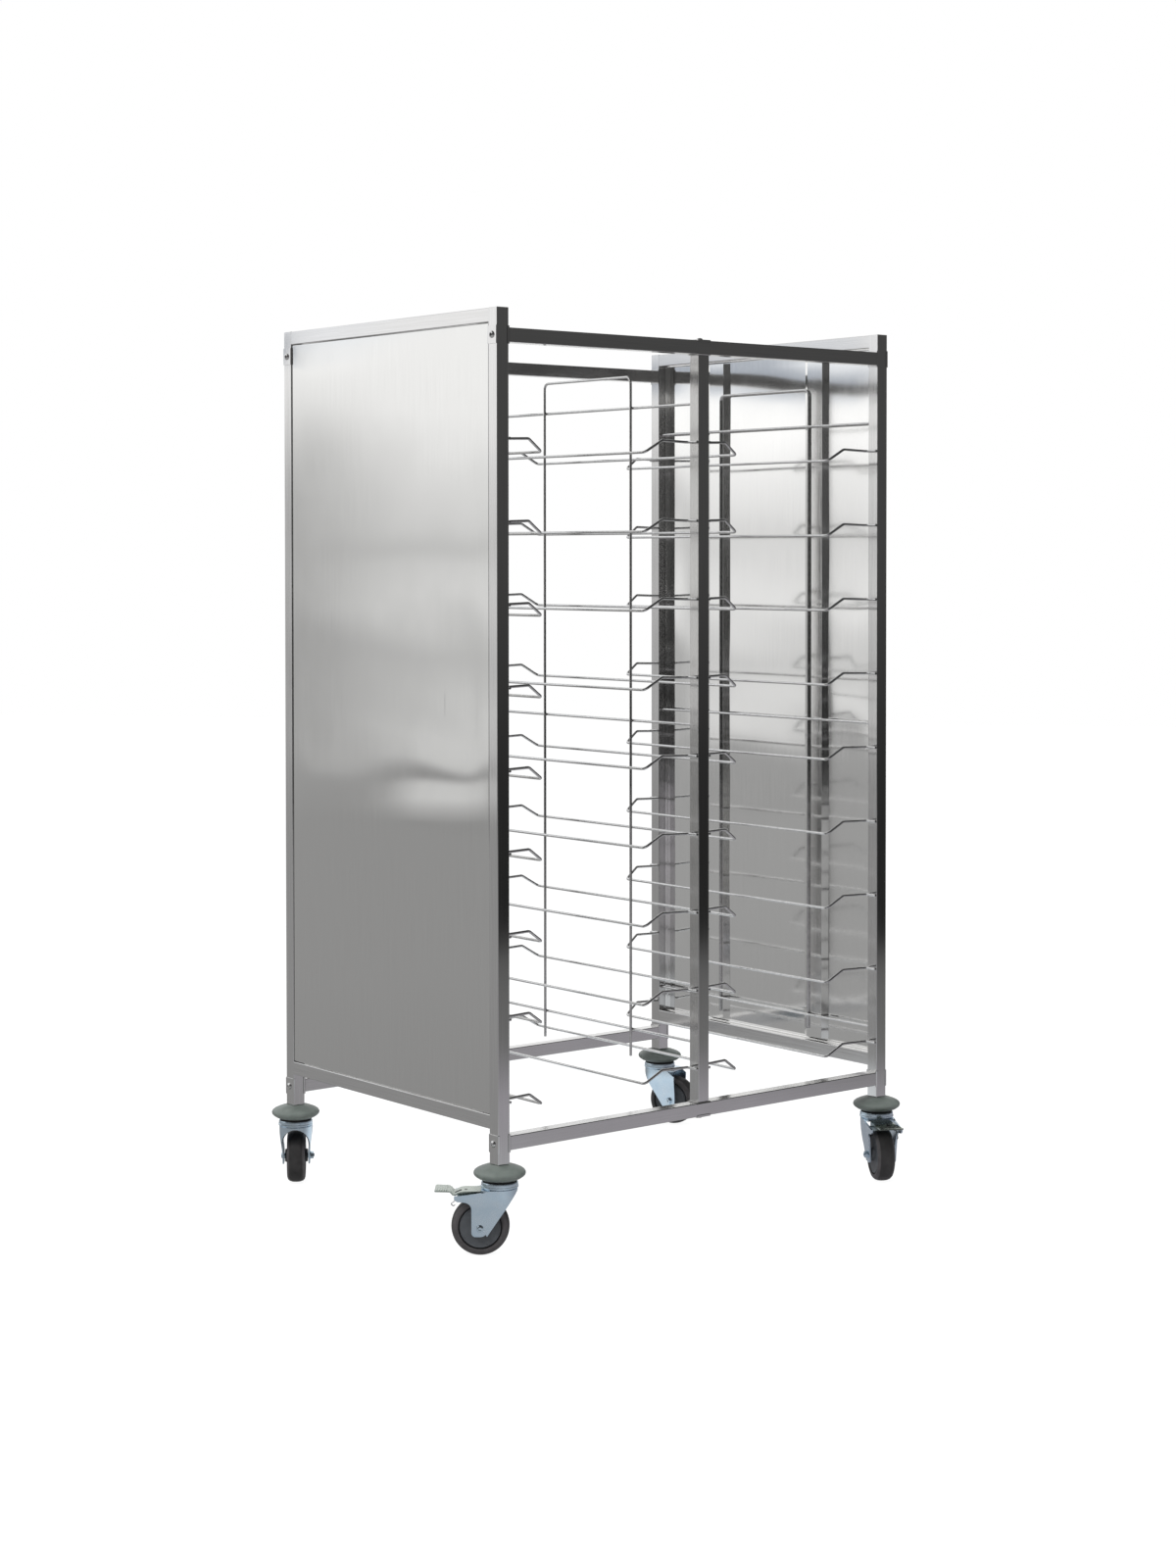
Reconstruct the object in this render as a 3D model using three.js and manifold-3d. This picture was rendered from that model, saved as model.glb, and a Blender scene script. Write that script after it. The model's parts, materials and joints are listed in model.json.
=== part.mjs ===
// Double-bay tray cart: two tube side frames with inset panels, four cross rails, a centre frame,
// four runs of bent-wire tray runners, and four swivel casters under round rubber bumpers.
// Millimetres, +Z up. The front is -Y, the left side -X. The floor is Z = 0.
import * as THREE from 'three';
import { mergeVertices } from 'three/addons/utils/BufferGeometryUtils.js';
import Module from 'manifold-3d';

const wasm = await Module();
wasm.setup();

// ---------------------------------------------------------------- driving dimensions

const fitGap = 0.3; // between pieces that touch on the real cart

// frame
const frameWidth = 935; // over the side frames' outer faces
const frameDepth = 668; // over the posts' front and rear faces
const postLength = 1463;
const tubeSide = 25;
const tubeWall = 1.5;
const tubeCornerRadius = 1.5;
const weldStep = 0.2; // rails sit this far inside the posts' faces, and tubes run this far into plates
const railOverlap = 3; // side rails run this far into the posts
const overcut = 1; // cutting shapes run this far past the ends they open
const topCrossDrop = 34; // frame top down to the top cross rails
const bottomCrossRise = 23; // post foot up to the bottom cross rails
const sideRailRise = 59; // post foot up to the side frames' bottom rails

// clamp saddles and their screws
const saddleLength = 31;
const saddleThickness = 1.6;
const saddleLip = 3; // how far a saddle hooks round the tube's corner
const screwRadius = 6.5;
const screwHeight = 3.5;
const boltHoleRadius = 4.5;

// side panels
const panelRecess = 1.5;
const panelSheet = 1;
const panelEdgeBend = 1.5;
const panelFlange = 7.5;
const stiffenerDepth = 7;
const stiffenerTop = 40;
const stiffenerBase = 80;
const stiffenerSpacing = 290;
const stiffenerEndGap = 3;

// wire guards that stop trays at the sides
const guardWire = 5;
const guardLegSpacing = 260;
const guardCornerRadius = 12;
const guardLegRise = 104; // post foot up to the legs' lower ends
const wireSink = 0.5; // wires run this far into what they are welded to
// frame top down to the axes of the arch and the two upper bars; post foot up to the lowest bar's
const sideGuard = { archDrop: 95, upperBarDrop: 168, middleBarDrop: 744, lowerBarRise: 133 };
const centreGuard = { archDrop: 89, upperBarDrop: 147, middleBarDrop: 730, lowerBarRise: 154 };

// tray runners
const levels = 9;
const firstRunnerDrop = 222; // frame top down to the top level's welds
const lastRunnerRise = 105; // post foot up to the lowest level's welds
const centreRunnerLift = 5; // the centre runners sit this much higher
const runnerWire = 5;
const runnerEndInset = 1; // post face to the wire's end
const humpY = 27.6; // post's outer face to the run across the hump
const humpReach = 63.5; // post's side face to the hump's crest
const humpRise = 2;
const runnerReach = 98; // post's side face to the runner
const runnerDrop = 20; // weld down to the runner
const runnerFootY = 35.5; // post's outer face to the runner's foot
const weldBendRadius = 5;
const footBendRadius = 9;
const wireSides = 6;

// casters
const wheelDiameter = 100;
const wheelWidth = 36;
const hubWidth = 43;
const hubRadius = 12;
const coreRadius = 36;
const coreRecess = 2.5;
const tyreLip = 2; // the tyre's flank beyond the core
const treadShoulder = 4;
const axleRadius = 6;
const wheelTrail = 33;
const forkInnerWidth = 44;
const forkPlate = 3;
const forkTipRadius = 14.5;
const forkShoulder = 4; // the bevel at the cheeks' upper rear corner
const tyreToFork = 12.5;
const crownRadius = 32.5;
const crownHeight = 11;
const crownBevel = 1.5;
const sealRadius = 30;
const sealHeight = 3;
const stemRadius = 10;
const stemLength = 60; // inside the post
const bumperDiameter = 90;
const bumperHeight = 25.4;
const axleHeadRadius = 7;
const axleHeadHeight = 3;

// braked forks of the two front casters; drops are from the fork plate's underside
const brakeTail = 77; // swivel axis to the end of the cheeks
const tailEndDrop = 6.5;
const tailTipDrop = 12;
const tailHeelDrop = 16;
const tailHeelInset = 5;
const tailRootDrop = 17;
const tailRootReach = 12; // cheeks' rear edge to the end of the curve under the tail
const tailThroatDrop = 31;
const tailThroatBend = 19;

// their brake pedals
const pedalPivotX = 42;
const pedalPivotDrop = 8;
const pedalPinRadius = 2.5;
const pedalSheet = 2.5;
const pedalWidth = 42;
const pedalCover = 10; // pivot forward to the lever's front end
const pedalClear = 2; // fork plate's rear end to the lever's front end
const pedalDip = 5; // how far the lever drops behind the cheeks
const pedalDipLength = 4;
const pedalFlange = 2;
const flangeDrop = 12;
const flangeHeel = 8; // pivot back to where the flanges' lower edge starts to rise
const flangeEndInset = 12; // cheeks' end forward to the flanges' rear corner
const flangeEndDrop = 11;
const flangeTip = 6;
const flangeTipDrop = 7;
const padWidth = 46;
const padStart = 86;
const padEnd = 111;
const padLift = 1; // pad above the fork plate's underside
const padRise = 1;
const padBevel = 1.5;

// the way each caster is parked: the trailing direction, degrees from +X towards +Y
const parked = { front_left: 141, front_right: 240, rear_left: 55, rear_right: 293 };

// frame centre to the centre of the box round the whole cart with its casters as parked
const boxCentreX = -27.9;
const boxCentreY = -17.5;

// ---------------------------------------------------------------- derived places

const wheelRadius = wheelDiameter / 2;
const forkPlateZ = wheelDiameter + tyreToFork;
const crownZ = forkPlateZ + forkPlate;
const bumperZ = crownZ + crownHeight + sealHeight + fitGap;
const footZ = bumperZ + bumperHeight + fitGap;
const topZ = footZ + postLength;

const left = -frameWidth / 2;
const front = -frameDepth / 2;
const tubeHalf = tubeSide / 2;
const postX = frameWidth / 2 - tubeHalf;
const postY = frameDepth / 2 - tubeHalf;
const bayDepth = frameDepth - 2 * tubeSide; // between the front and rear posts
const topCrossZ = topZ - topCrossDrop - tubeHalf;
const bottomCrossZ = footZ + bottomCrossRise + tubeHalf;
const sideRailZ = footZ + sideRailRise + tubeHalf;
const levelPitch = (postLength - firstRunnerDrop - lastRunnerRise) / (levels - 1);

// ---------------------------------------------------------------- materials

const steel = new THREE.MeshStandardMaterial({ color: 0x9c9ea0, roughness: 0.32, metalness: 1 });
const panelSteel = new THREE.MeshStandardMaterial({ color: 0xc4c5c3, roughness: 0.25, metalness: 1 });
const wireSteel = new THREE.MeshStandardMaterial({ color: 0xb4b5b6, roughness: 0.2, metalness: 1 });
const zinc = new THREE.MeshStandardMaterial({ color: 0xa9b6bf, roughness: 0.35, metalness: 1 });
const bumperRubber = new THREE.MeshStandardMaterial({ color: 0x6f7a74, roughness: 0.6, metalness: 0 });
const wheelRubber = new THREE.MeshStandardMaterial({ color: 0x4c4a4d, roughness: 0.55, metalness: 0 });

// ---------------------------------------------------------------- solids

function closed(geometry) {
  const bare = geometry.index ? geometry.toNonIndexed() : geometry.clone();
  for (const name of Object.keys(bare.attributes)) if (name !== 'position') bare.deleteAttribute(name);
  return mergeVertices(bare, 1e-4);
}

function solid(geometry) {
  const merged = closed(geometry);
  const vertProperties = new Float32Array(merged.attributes.position.array);
  const triVerts = new Uint32Array(merged.index.array);
  return new wasm.Manifold(new wasm.Mesh({ numProp: 3, vertProperties, triVerts }));
}

function join(geometries) {
  return geometries.map(solid).reduce((all, next) => all.add(next));
}

function geometryOf(manifold) {
  const mesh = manifold.getMesh();
  const geometry = new THREE.BufferGeometry();
  geometry.setAttribute('position', new THREE.BufferAttribute(new Float32Array(mesh.vertProperties), 3));
  geometry.setIndex(new THREE.BufferAttribute(new Uint32Array(mesh.triVerts), 1));
  return geometry;
}

function mirroredX(geometry) {
  const copy = geometry.clone().scale(-1, 1, 1);
  const index = copy.index.array;
  for (let i = 0; i < index.length; i += 3) [index[i], index[i + 1]] = [index[i + 1], index[i]];
  return copy;
}

function box(low, high) {
  const size = high.map((value, axis) => value - low[axis]);
  const centre = high.map((value, axis) => (value + low[axis]) / 2);
  return new THREE.BoxGeometry(...size).translate(...centre);
}

// A profile of [radius, height] points turned about Z.
function turned(profile, segments) {
  const points = profile.map(([radius, height]) => new THREE.Vector2(radius, height));
  return new THREE.LatheGeometry(points, segments).rotateX(Math.PI / 2);
}

// An outline drawn in X and Z, pushed along Y from -width/2 to width/2.
function plateXZ(shape, width, curveSegments = 6) {
  const options = { depth: width, bevelEnabled: false, curveSegments };
  return new THREE.ExtrudeGeometry(shape, options).rotateX(Math.PI / 2).translate(0, width / 2, 0);
}

function polygon(points) {
  return new THREE.Shape(points.map(([x, y]) => new THREE.Vector2(x, y)));
}

function rectangle(width, height) {
  return polygon([[-width, -height], [width, -height], [width, height], [-width, height]]
    .map(([x, y]) => [x / 2, y / 2]));
}

function roundedSquare(side, radius) {
  const shape = new THREE.Shape();
  const reach = side / 2 - radius;
  shape.absarc(reach, reach, radius, 0, Math.PI / 2);
  shape.absarc(-reach, reach, radius, Math.PI / 2, Math.PI);
  shape.absarc(-reach, -reach, radius, Math.PI, Math.PI * 1.5);
  shape.absarc(reach, -reach, radius, Math.PI * 1.5, Math.PI * 2);
  return shape;
}

// A bar of the given section along an axis, from one end to the other, centred on the other two.
function bar(shape, axis, from, to) {
  const options = { depth: to - from, bevelEnabled: false, curveSegments: 2 };
  const geometry = new THREE.ExtrudeGeometry(shape, options).translate(0, 0, from);
  if (axis === 'x') geometry.rotateY(Math.PI / 2);
  if (axis === 'y') geometry.rotateX(-Math.PI / 2);
  return geometry;
}

const tubeSection = roundedSquare(tubeSide, tubeCornerRadius);
const boreSection = rectangle(tubeSide - 2 * tubeWall, tubeSide - 2 * tubeWall);
const railSide = tubeSide - 2 * weldStep;
const railSection = roundedSquare(railSide, tubeCornerRadius);
const railBoreSection = rectangle(railSide - 2 * tubeWall, railSide - 2 * tubeWall);

// ---------------------------------------------------------------- bent wire

// A path of straight runs and round bends. It is sampled only where the wire turns.
class BentPath extends THREE.Curve {
  constructor(corners) {
    super();
    this.rings = [];
    corners.forEach(({ at, radius = 0, rings = 1 }, i) => {
      const before = corners[i - 1]?.at;
      const after = corners[i + 1]?.at;
      if (!before || !after || radius === 0) {
        const inward = before ? at.clone().sub(before).normalize() : null;
        const outward = after ? after.clone().sub(at).normalize() : null;
        const along = new THREE.Vector3();
        if (inward) along.add(inward);
        if (outward) along.add(outward);
        this.rings.push({ at: at.clone(), along: along.normalize() });
        return;
      }
      const inward = at.clone().sub(before).normalize();
      const outward = after.clone().sub(at).normalize();
      const turn = inward.angleTo(outward);
      const reach = radius * Math.tan(turn / 2);
      const start = at.clone().addScaledVector(inward, -reach);
      const side = outward.clone().addScaledVector(inward, -inward.dot(outward)).normalize();
      for (let k = 0; k < rings; k += 1) {
        const angle = (turn * k) / (rings - 1);
        const point = start.clone()
          .addScaledVector(inward, radius * Math.sin(angle))
          .addScaledVector(side, radius * (1 - Math.cos(angle)));
        const along = inward.clone().multiplyScalar(Math.cos(angle)).addScaledVector(side, Math.sin(angle));
        this.rings.push({ at: point, along });
      }
    });
  }

  get steps() {
    return this.rings.length - 1;
  }

  getPointAt(u, target = new THREE.Vector3()) {
    return target.copy(this.rings[Math.round(u * this.steps)].at);
  }

  getTangentAt(u, target = new THREE.Vector3()) {
    return target.copy(this.rings[Math.round(u * this.steps)].along);
  }
}

function wire(corners, diameter) {
  const path = new BentPath(corners);
  const section = [];
  for (let k = 0; k < wireSides; k += 1) {
    const angle = (2 * Math.PI * (k + 0.5)) / wireSides;
    section.push([(Math.cos(angle) * diameter) / 2, (Math.sin(angle) * diameter) / 2]);
  }
  const options = { steps: path.steps, bevelEnabled: false, extrudePath: path };
  return new THREE.ExtrudeGeometry(polygon(section), options);
}

const vec = (x, y, z) => new THREE.Vector3(x, y, z);

// ---------------------------------------------------------------- saddles and screws

// A dome-headed screw that stands up from Z = 0.
function screwHead() {
  const crest = screwHeight;
  const profile = [[0, -1], [screwRadius, -1], [screwRadius, crest * 0.3], [screwRadius * 0.6, crest * 0.9]];
  return turned([...profile, [0, crest]], 8);
}

// Both saddle forms are drawn for a tube face that looks along -X: the face lies at X = 0, and the
// tube behind it spans Y from -tubeHalf to tubeHalf.

// A saddle clamped hard round a tube, with its screw. Lips are the ends, -1 or 1, where it hooks on.
function clampBlocks(lips) {
  const plain = tubeHalf - tubeCornerRadius / 2;
  const low = lips.includes(-1) ? -tubeHalf - saddleThickness : -plain;
  const high = lips.includes(1) ? tubeHalf + saddleThickness : plain;
  const half = saddleLength / 2;
  return [
    box([-saddleThickness, low, -half], [saddleLip, high, half]),
    screwHead().rotateY(-Math.PI / 2).translate(-saddleThickness, 0, 0),
  ];
}

// A bar's end plate, seated on a tube face with a bolt hole and hooked round both corners.
function endPlate() {
  const outer = -fitGap - saddleThickness;
  const side = tubeHalf + fitGap;
  const half = saddleLength / 2;
  const edge = side + saddleThickness;
  const block = solid(box([outer, -edge, -half], [saddleLip, edge, half]));
  const seat = solid(box([-fitGap, -side, -2 * half], [2 * saddleLip, side, 2 * half]));
  const hole = new THREE.CylinderGeometry(boltHoleRadius, boltHoleRadius, 4 * saddleThickness, 10);
  return block.subtract(seat).subtract(solid(hole.rotateZ(Math.PI / 2)));
}

// ---------------------------------------------------------------- frame

// Guard: an inverted U on three straight bars between the posts' inner faces.
function guardWires(guard, barX, legX) {
  const reach = bayDepth / 2 + wireSink;
  const heights = [topZ - guard.upperBarDrop, topZ - guard.middleBarDrop, footZ + guard.lowerBarRise];
  const bars = heights.map((z) => (
    wire([{ at: vec(barX, -reach, z) }, { at: vec(barX, reach, z) }], guardWire)));
  const low = footZ + guardLegRise;
  const high = topZ - guard.archDrop;
  const leg = guardLegSpacing / 2;
  const corner = { radius: guardCornerRadius, rings: 4 };
  const arch = wire([
    { at: vec(legX, -leg, low) },
    { at: vec(legX, -leg, high), ...corner },
    { at: vec(legX, leg, high), ...corner },
    { at: vec(legX, leg, low) },
  ], guardWire);
  return [...bars, arch];
}

// The left side frame, at its place: posts, rails, guard and the outer clamps of the cross rails.
function sideFrame() {
  const x = -postX;
  const railReach = bayDepth / 2 + railOverlap;
  const outside = [
    bar(tubeSection, 'z', footZ, topZ).translate(x, -postY, 0),
    bar(tubeSection, 'z', footZ, topZ).translate(x, postY, 0),
    bar(railSection, 'y', -railReach, railReach).translate(x, 0, topZ - tubeHalf),
    bar(railSection, 'y', -railReach, railReach).translate(x, 0, sideRailZ),
  ];
  const inside = [
    bar(boreSection, 'z', footZ - overcut, topZ - tubeWall).translate(x, -postY, 0),
    bar(boreSection, 'z', footZ - overcut, topZ - tubeWall).translate(x, postY, 0),
    bar(railBoreSection, 'y', -railReach, railReach).translate(x, 0, topZ - tubeHalf),
    bar(railBoreSection, 'y', -railReach, railReach).translate(x, 0, sideRailZ),
  ];
  const guard = guardWires(sideGuard, x + guardWire - wireSink, x);
  const clamps = [-1, 1].flatMap((end) => [topCrossZ, bottomCrossZ].flatMap((z) =>
    clampBlocks([end]).map((part) => part.translate(left, end * postY, z))));
  return geometryOf(join([...outside, ...clamps]).subtract(join(inside)).add(join(guard)));
}

// Front and rear centre posts with a hooked plate on each end, and the centre guard between them.
function centreFrame() {
  const high = topCrossZ - tubeHalf - fitGap - saddleThickness;
  const low = bottomCrossZ + tubeHalf + fitGap + saddleThickness;
  const plate = geometryOf(endPlate());
  const upper = plate.clone().rotateY(-Math.PI / 2).translate(0, 0, topCrossZ - tubeHalf);
  const lower = plate.clone().rotateY(Math.PI / 2).translate(0, 0, bottomCrossZ + tubeHalf);
  let frame = null;
  for (const y of [-postY, postY]) {
    const post = solid(bar(tubeSection, 'z', low - weldStep, high + weldStep).translate(0, y, 0));
    const bore = solid(bar(boreSection, 'z', low - overcut, high + overcut).translate(0, y, 0));
    const ends = join([upper.clone().translate(0, y, 0), lower.clone().translate(0, y, 0)]);
    const whole = post.subtract(bore).add(ends);
    frame = frame ? frame.add(whole) : whole;
  }
  const lean = (guardWire - wireSink) / 2; // bars and legs cross side by side
  const guard = guardWires(centreGuard, lean, -lean);
  return geometryOf(frame.add(join(guard)));
}

// A cross rail along X at Y = 0, Z = 0, with a hooked plate on each end and the clamp that holds the
// centre post on the face away from it: side is 1 for a clamp on top, -1 for one below.
function crossRail(side) {
  const face = frameWidth / 2 - tubeSide;
  const reach = face - fitGap - saddleThickness + weldStep;
  const tube = solid(bar(tubeSection, 'x', -reach, reach));
  const bore = solid(bar(boreSection, 'x', -reach - overcut, reach + overcut));
  const plate = geometryOf(endPlate());
  const rightPlate = plate.clone().translate(face, 0, 0);
  const leftPlate = plate.clone().rotateZ(Math.PI).translate(-face, 0, 0);
  const clamp = clampBlocks([-1, 1])
    .map((part) => part.rotateY((side * Math.PI) / 2).translate(0, 0, side * tubeHalf));
  return geometryOf(tube.add(join(clamp)).subtract(bore).add(join([rightPlate, leftPlate])));
}

// ---------------------------------------------------------------- side panel

// A shallow folded pan, flat outside, with two hat-shaped stiffeners on its inner face.
function sidePanel() {
  const low = sideRailZ + tubeHalf + fitGap;
  const high = topZ - tubeSide - fitGap;
  const depth = bayDepth - 2 * fitGap;
  const height = high - low;
  const middle = (low + high) / 2;
  const outerX = left + panelRecess;
  const innerX = outerX + panelSheet;
  const flat = rectangle(height - 2 * panelEdgeBend, depth - 2 * panelEdgeBend);
  const options = {
    depth: 4 * panelFlange,
    bevelThickness: panelEdgeBend,
    bevelSize: panelEdgeBend,
    bevelSegments: 1,
  };
  const block = new THREE.ExtrudeGeometry(flat, options).rotateY(Math.PI / 2)
    .translate(outerX + panelEdgeBend, 0, middle);
  const far = frameWidth;
  const trim = box([outerX + panelFlange, -far, 0], [outerX + far, far, 2 * topZ]);
  const wall = panelSheet;
  const hollow = box([innerX, -depth / 2 + wall, low + wall], [outerX + far, depth / 2 - wall, high - wall]);
  const pan = solid(block).subtract(solid(trim)).subtract(solid(hollow));
  const hatLow = low + panelSheet + stiffenerEndGap;
  const hatHigh = high - panelSheet - stiffenerEndGap;
  const slant = (stiffenerBase - stiffenerTop) / 2;
  const across = (panelSheet * Math.hypot(slant, stiffenerDepth)) / stiffenerDepth;
  const foot = stiffenerBase / 2;
  const crest = stiffenerTop / 2;
  const inset = across - (panelSheet * slant) / stiffenerDepth;
  const hat = polygon([
    [-0.1, -foot], [stiffenerDepth, -crest], [stiffenerDepth, crest], [-0.1, foot],
    [-0.1, foot - across], [stiffenerDepth - panelSheet, crest - inset],
    [stiffenerDepth - panelSheet, inset - crest], [-0.1, across - foot],
  ]);
  const hats = [-1, 1].map((side) =>
    bar(hat, 'z', hatLow, hatHigh).translate(innerX, (side * stiffenerSpacing) / 2, 0));
  return geometryOf(pan.add(join(hats)));
}

// ---------------------------------------------------------------- tray runner

// One wire welded to the side faces of a front and a rear post. faceX is the posts' side face and
// side the direction into the bay.
function trayRunner(faceX, side, weldZ) {
  const off = (runnerWire / 2) * Math.cos(Math.PI / wireSides / 2) + fitGap;
  const halfRoute = [
    { inX: off, y: runnerEndInset, up: 0 },
    { inX: off, y: humpY, up: 0, radius: weldBendRadius, rings: 2 },
    { inX: humpReach, y: humpY, up: humpRise },
    { inX: runnerReach, y: runnerFootY, up: -runnerDrop, radius: footBendRadius, rings: 3 },
  ];
  const frontHalf = halfRoute.map(({ inX, y, up, radius, rings }) => (
    { at: vec(faceX + side * inX, front + y, weldZ + up), radius, rings }));
  const rearHalf = frontHalf.map(({ at, radius, rings }) => (
    { at: vec(at.x, -at.y, at.z), radius, rings })).reverse();
  return wire([...frontHalf, ...rearHalf], runnerWire);
}

// ---------------------------------------------------------------- casters

// Each caster piece is drawn about the swivel axis at X = 0, Y = 0, trailing along +X.

function bumper() {
  const edge = bumperDiameter / 2;
  const bore = stemRadius + fitGap;
  const top = bumperZ + bumperHeight;
  const profile = [
    [bore, bumperZ], [edge * 0.72, bumperZ], [edge * 0.9, bumperZ + bumperHeight * 0.16],
    [edge * 0.99, bumperZ + bumperHeight * 0.32], [edge, bumperZ + bumperHeight * 0.45],
    [edge * 0.95, bumperZ + bumperHeight * 0.6], [edge * 0.78, bumperZ + bumperHeight * 0.8],
    [tubeSide * 0.74, top], [bore, top],
  ];
  return turned([...profile, profile[0]], 22);
}

function wheel() {
  const bore = axleRadius + fitGap;
  const hub = hubWidth / 2;
  const tread = wheelWidth / 2;
  const half = [
    [wheelRadius, tread * 0.3], [wheelRadius - treadShoulder, tread * 0.8], [coreRadius + tyreLip, tread],
    [coreRadius, tread - coreRecess], [hubRadius, tread - coreRecess], [hubRadius, hub], [bore, hub],
  ];
  const mirrored = half.map(([radius, offset]) => [radius, -offset]).reverse();
  const profile = [...mirrored, ...half];
  return turned([...profile, profile[0]], 22).rotateX(Math.PI / 2);
}

// The side outline of a fork's cheek, down to the axle, with a tail for the brake where it has one.
function cheekOutline(braked) {
  const nose = new THREE.Vector2(0.5 - crownRadius, crownZ + 1);
  const axle = new THREE.Vector2(wheelTrail, wheelRadius);
  const toNose = nose.clone().sub(axle);
  const lead = toNose.angle() + Math.acos(forkTipRadius / toNose.length());
  const back = wheelTrail + forkTipRadius;
  const shape = new THREE.Shape();
  shape.moveTo(nose.x, nose.y);
  shape.absarc(axle.x, axle.y, forkTipRadius, lead, 2 * Math.PI, false);
  if (braked) {
    const root = back + tailRootReach;
    shape.lineTo(back, forkPlateZ - tailThroatDrop);
    shape.quadraticCurveTo(back, forkPlateZ - tailThroatBend, root, forkPlateZ - tailRootDrop);
    shape.lineTo(brakeTail - tailHeelInset, forkPlateZ - tailHeelDrop);
    shape.lineTo(brakeTail, forkPlateZ - tailTipDrop);
    shape.lineTo(brakeTail, forkPlateZ - tailEndDrop);
    shape.lineTo(crownRadius, crownZ);
  } else {
    shape.lineTo(back, forkPlateZ - forkShoulder);
    shape.lineTo(back - forkShoulder, crownZ);
  }
  shape.lineTo(crownRadius - forkShoulder, crownZ + 1);
  shape.closePath();
  return shape;
}

// Stem, crown, cheeks, the curved web at the nose, and the axle bolt through the cheeks.
function casterFork(braked) {
  const stemTop = footZ + stemLength;
  const rim = crownRadius - crownBevel;
  const crownTop = crownZ + crownHeight;
  const crown = turned([
    [0, crownZ], [rim, crownZ], [crownRadius, crownZ + crownBevel], [crownRadius, crownTop - crownBevel],
    [rim, crownTop], [sealRadius, crownTop], [sealRadius, crownTop + sealHeight],
    [stemRadius, crownTop + sealHeight], [stemRadius, stemTop], [0, stemTop],
  ], 20);
  const outline = cheekOutline(braked);
  const outerWidth = forkInnerWidth + 2 * forkPlate;
  const wide = solid(plateXZ(outline, outerWidth));
  const cheeks = wide.subtract(solid(plateXZ(rectangle(4 * crownZ, 4 * crownZ), forkInnerWidth)));
  const keep = join([
    new THREE.CylinderGeometry(crownRadius, crownRadius, 4 * crownZ, 20).rotateX(Math.PI / 2),
    box([0, -outerWidth, -1], [2 * brakeTail, outerWidth, 2 * crownZ]),
  ]);
  const core = crownRadius - forkPlate;
  const inside = new THREE.CylinderGeometry(core, core, 4 * crownZ, 20).rotateX(Math.PI / 2);
  const noseOnly = box([-2 * crownRadius, -outerWidth, 0], [-core / 2, outerWidth, 2 * crownZ]);
  const web = wide.intersect(solid(noseOnly)).subtract(solid(inside)).intersect(keep);
  const plateEnd = braked ? pedalPivotX - pedalCover - pedalClear : wheelTrail + forkTipRadius - forkShoulder;
  const roof = join([
    new THREE.CylinderGeometry(rim, rim, forkPlate + 0.5, 20).rotateX(Math.PI / 2)
      .translate(0, 0, forkPlateZ + (forkPlate + 0.5) / 2),
    box([0, -forkInnerWidth / 2 - 1, forkPlateZ], [plateEnd, forkInnerWidth / 2 + 1, crownZ]),
  ]);
  const headZ = outerWidth / 2 + axleHeadHeight;
  const axle = new THREE.CylinderGeometry(axleRadius, axleRadius, outerWidth, 12);
  const heads = [-1, 1].map((side) =>
    new THREE.CylinderGeometry(axleHeadRadius, axleHeadRadius, axleHeadHeight + 0.5, 6)
      .translate(0, side * (headZ - (axleHeadHeight + 0.5) / 2), 0));
  const bolt = join([axle, ...heads].map((part) => part.translate(wheelTrail, 0, wheelRadius)));
  let fork = solid(crown).add(cheeks.intersect(keep)).add(web).add(roof).add(bolt);
  if (braked) {
    const holeRadius = pedalPinRadius + fitGap;
    const hole = new THREE.CylinderGeometry(holeRadius, holeRadius, 2 * outerWidth, 10);
    fork = fork.subtract(solid(hole.translate(pedalPivotX, 0, forkPlateZ - pedalPivotDrop)));
  }
  return geometryOf(fork);
}

// A folded lever between the cheeks with a foot pad behind, on a pin through the cheeks.
function brakePedal() {
  const plate = forkPlateZ;
  const padZ = plate + padLift;
  const cover = pedalPivotX - pedalCover;
  const upperLine = [
    [cover, plate], [brakeTail, plate - pedalDip], [brakeTail + pedalDipLength, plate - pedalDip + 1],
    [padStart, padZ],
  ];
  const lowerLine = upperLine.map(([x, z]) => [x, z - pedalSheet]).reverse();
  const lever = polygon([...upperLine, ...lowerLine]);
  const pad = polygon([
    [padStart - wireSink, padZ], [padEnd - padBevel, padZ + padRise], [padEnd, padZ + padRise - padBevel],
    [padEnd - padBevel, padZ - pedalSheet], [padStart - wireSink, padZ - pedalSheet],
  ]);
  const shoe = brakeTail - flangeEndInset;
  const flange = polygon([
    [cover, plate - 1], [cover, plate - flangeDrop], [pedalPivotX + flangeHeel, plate - flangeDrop],
    [shoe, plate - flangeEndDrop], [shoe + flangeTip, plate - flangeTipDrop],
  ]);
  const flangeAt = (pedalWidth - pedalFlange) / 2;
  const flanges = [-1, 1].map((side) => (
    plateXZ(flange, pedalFlange).translate(0, side * flangeAt, 0)));
  const pinReach = forkInnerWidth + 2 * forkPlate;
  const pin = new THREE.CylinderGeometry(pedalPinRadius, pedalPinRadius, pinReach, 10)
    .translate(pedalPivotX, 0, plate - pedalPivotDrop);
  const sheets = [plateXZ(lever, pedalWidth), plateXZ(pad, padWidth)];
  return geometryOf(join([...sheets, ...flanges, pin]));
}

// ---------------------------------------------------------------- the cart

const cart = new THREE.Group();
cart.position.set(-boxCentreX, -boxCentreY, 0);

function place(parent, name, geometry, material) {
  const mesh = new THREE.Mesh(closed(geometry), material);
  mesh.name = name;
  parent.add(mesh);
  return mesh;
}

const leftFrame = sideFrame();
place(cart, 'left_side_frame', leftFrame, steel);
place(cart, 'right_side_frame', mirroredX(leftFrame), steel);
place(cart, 'centre_frame', centreFrame(), steel);

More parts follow.
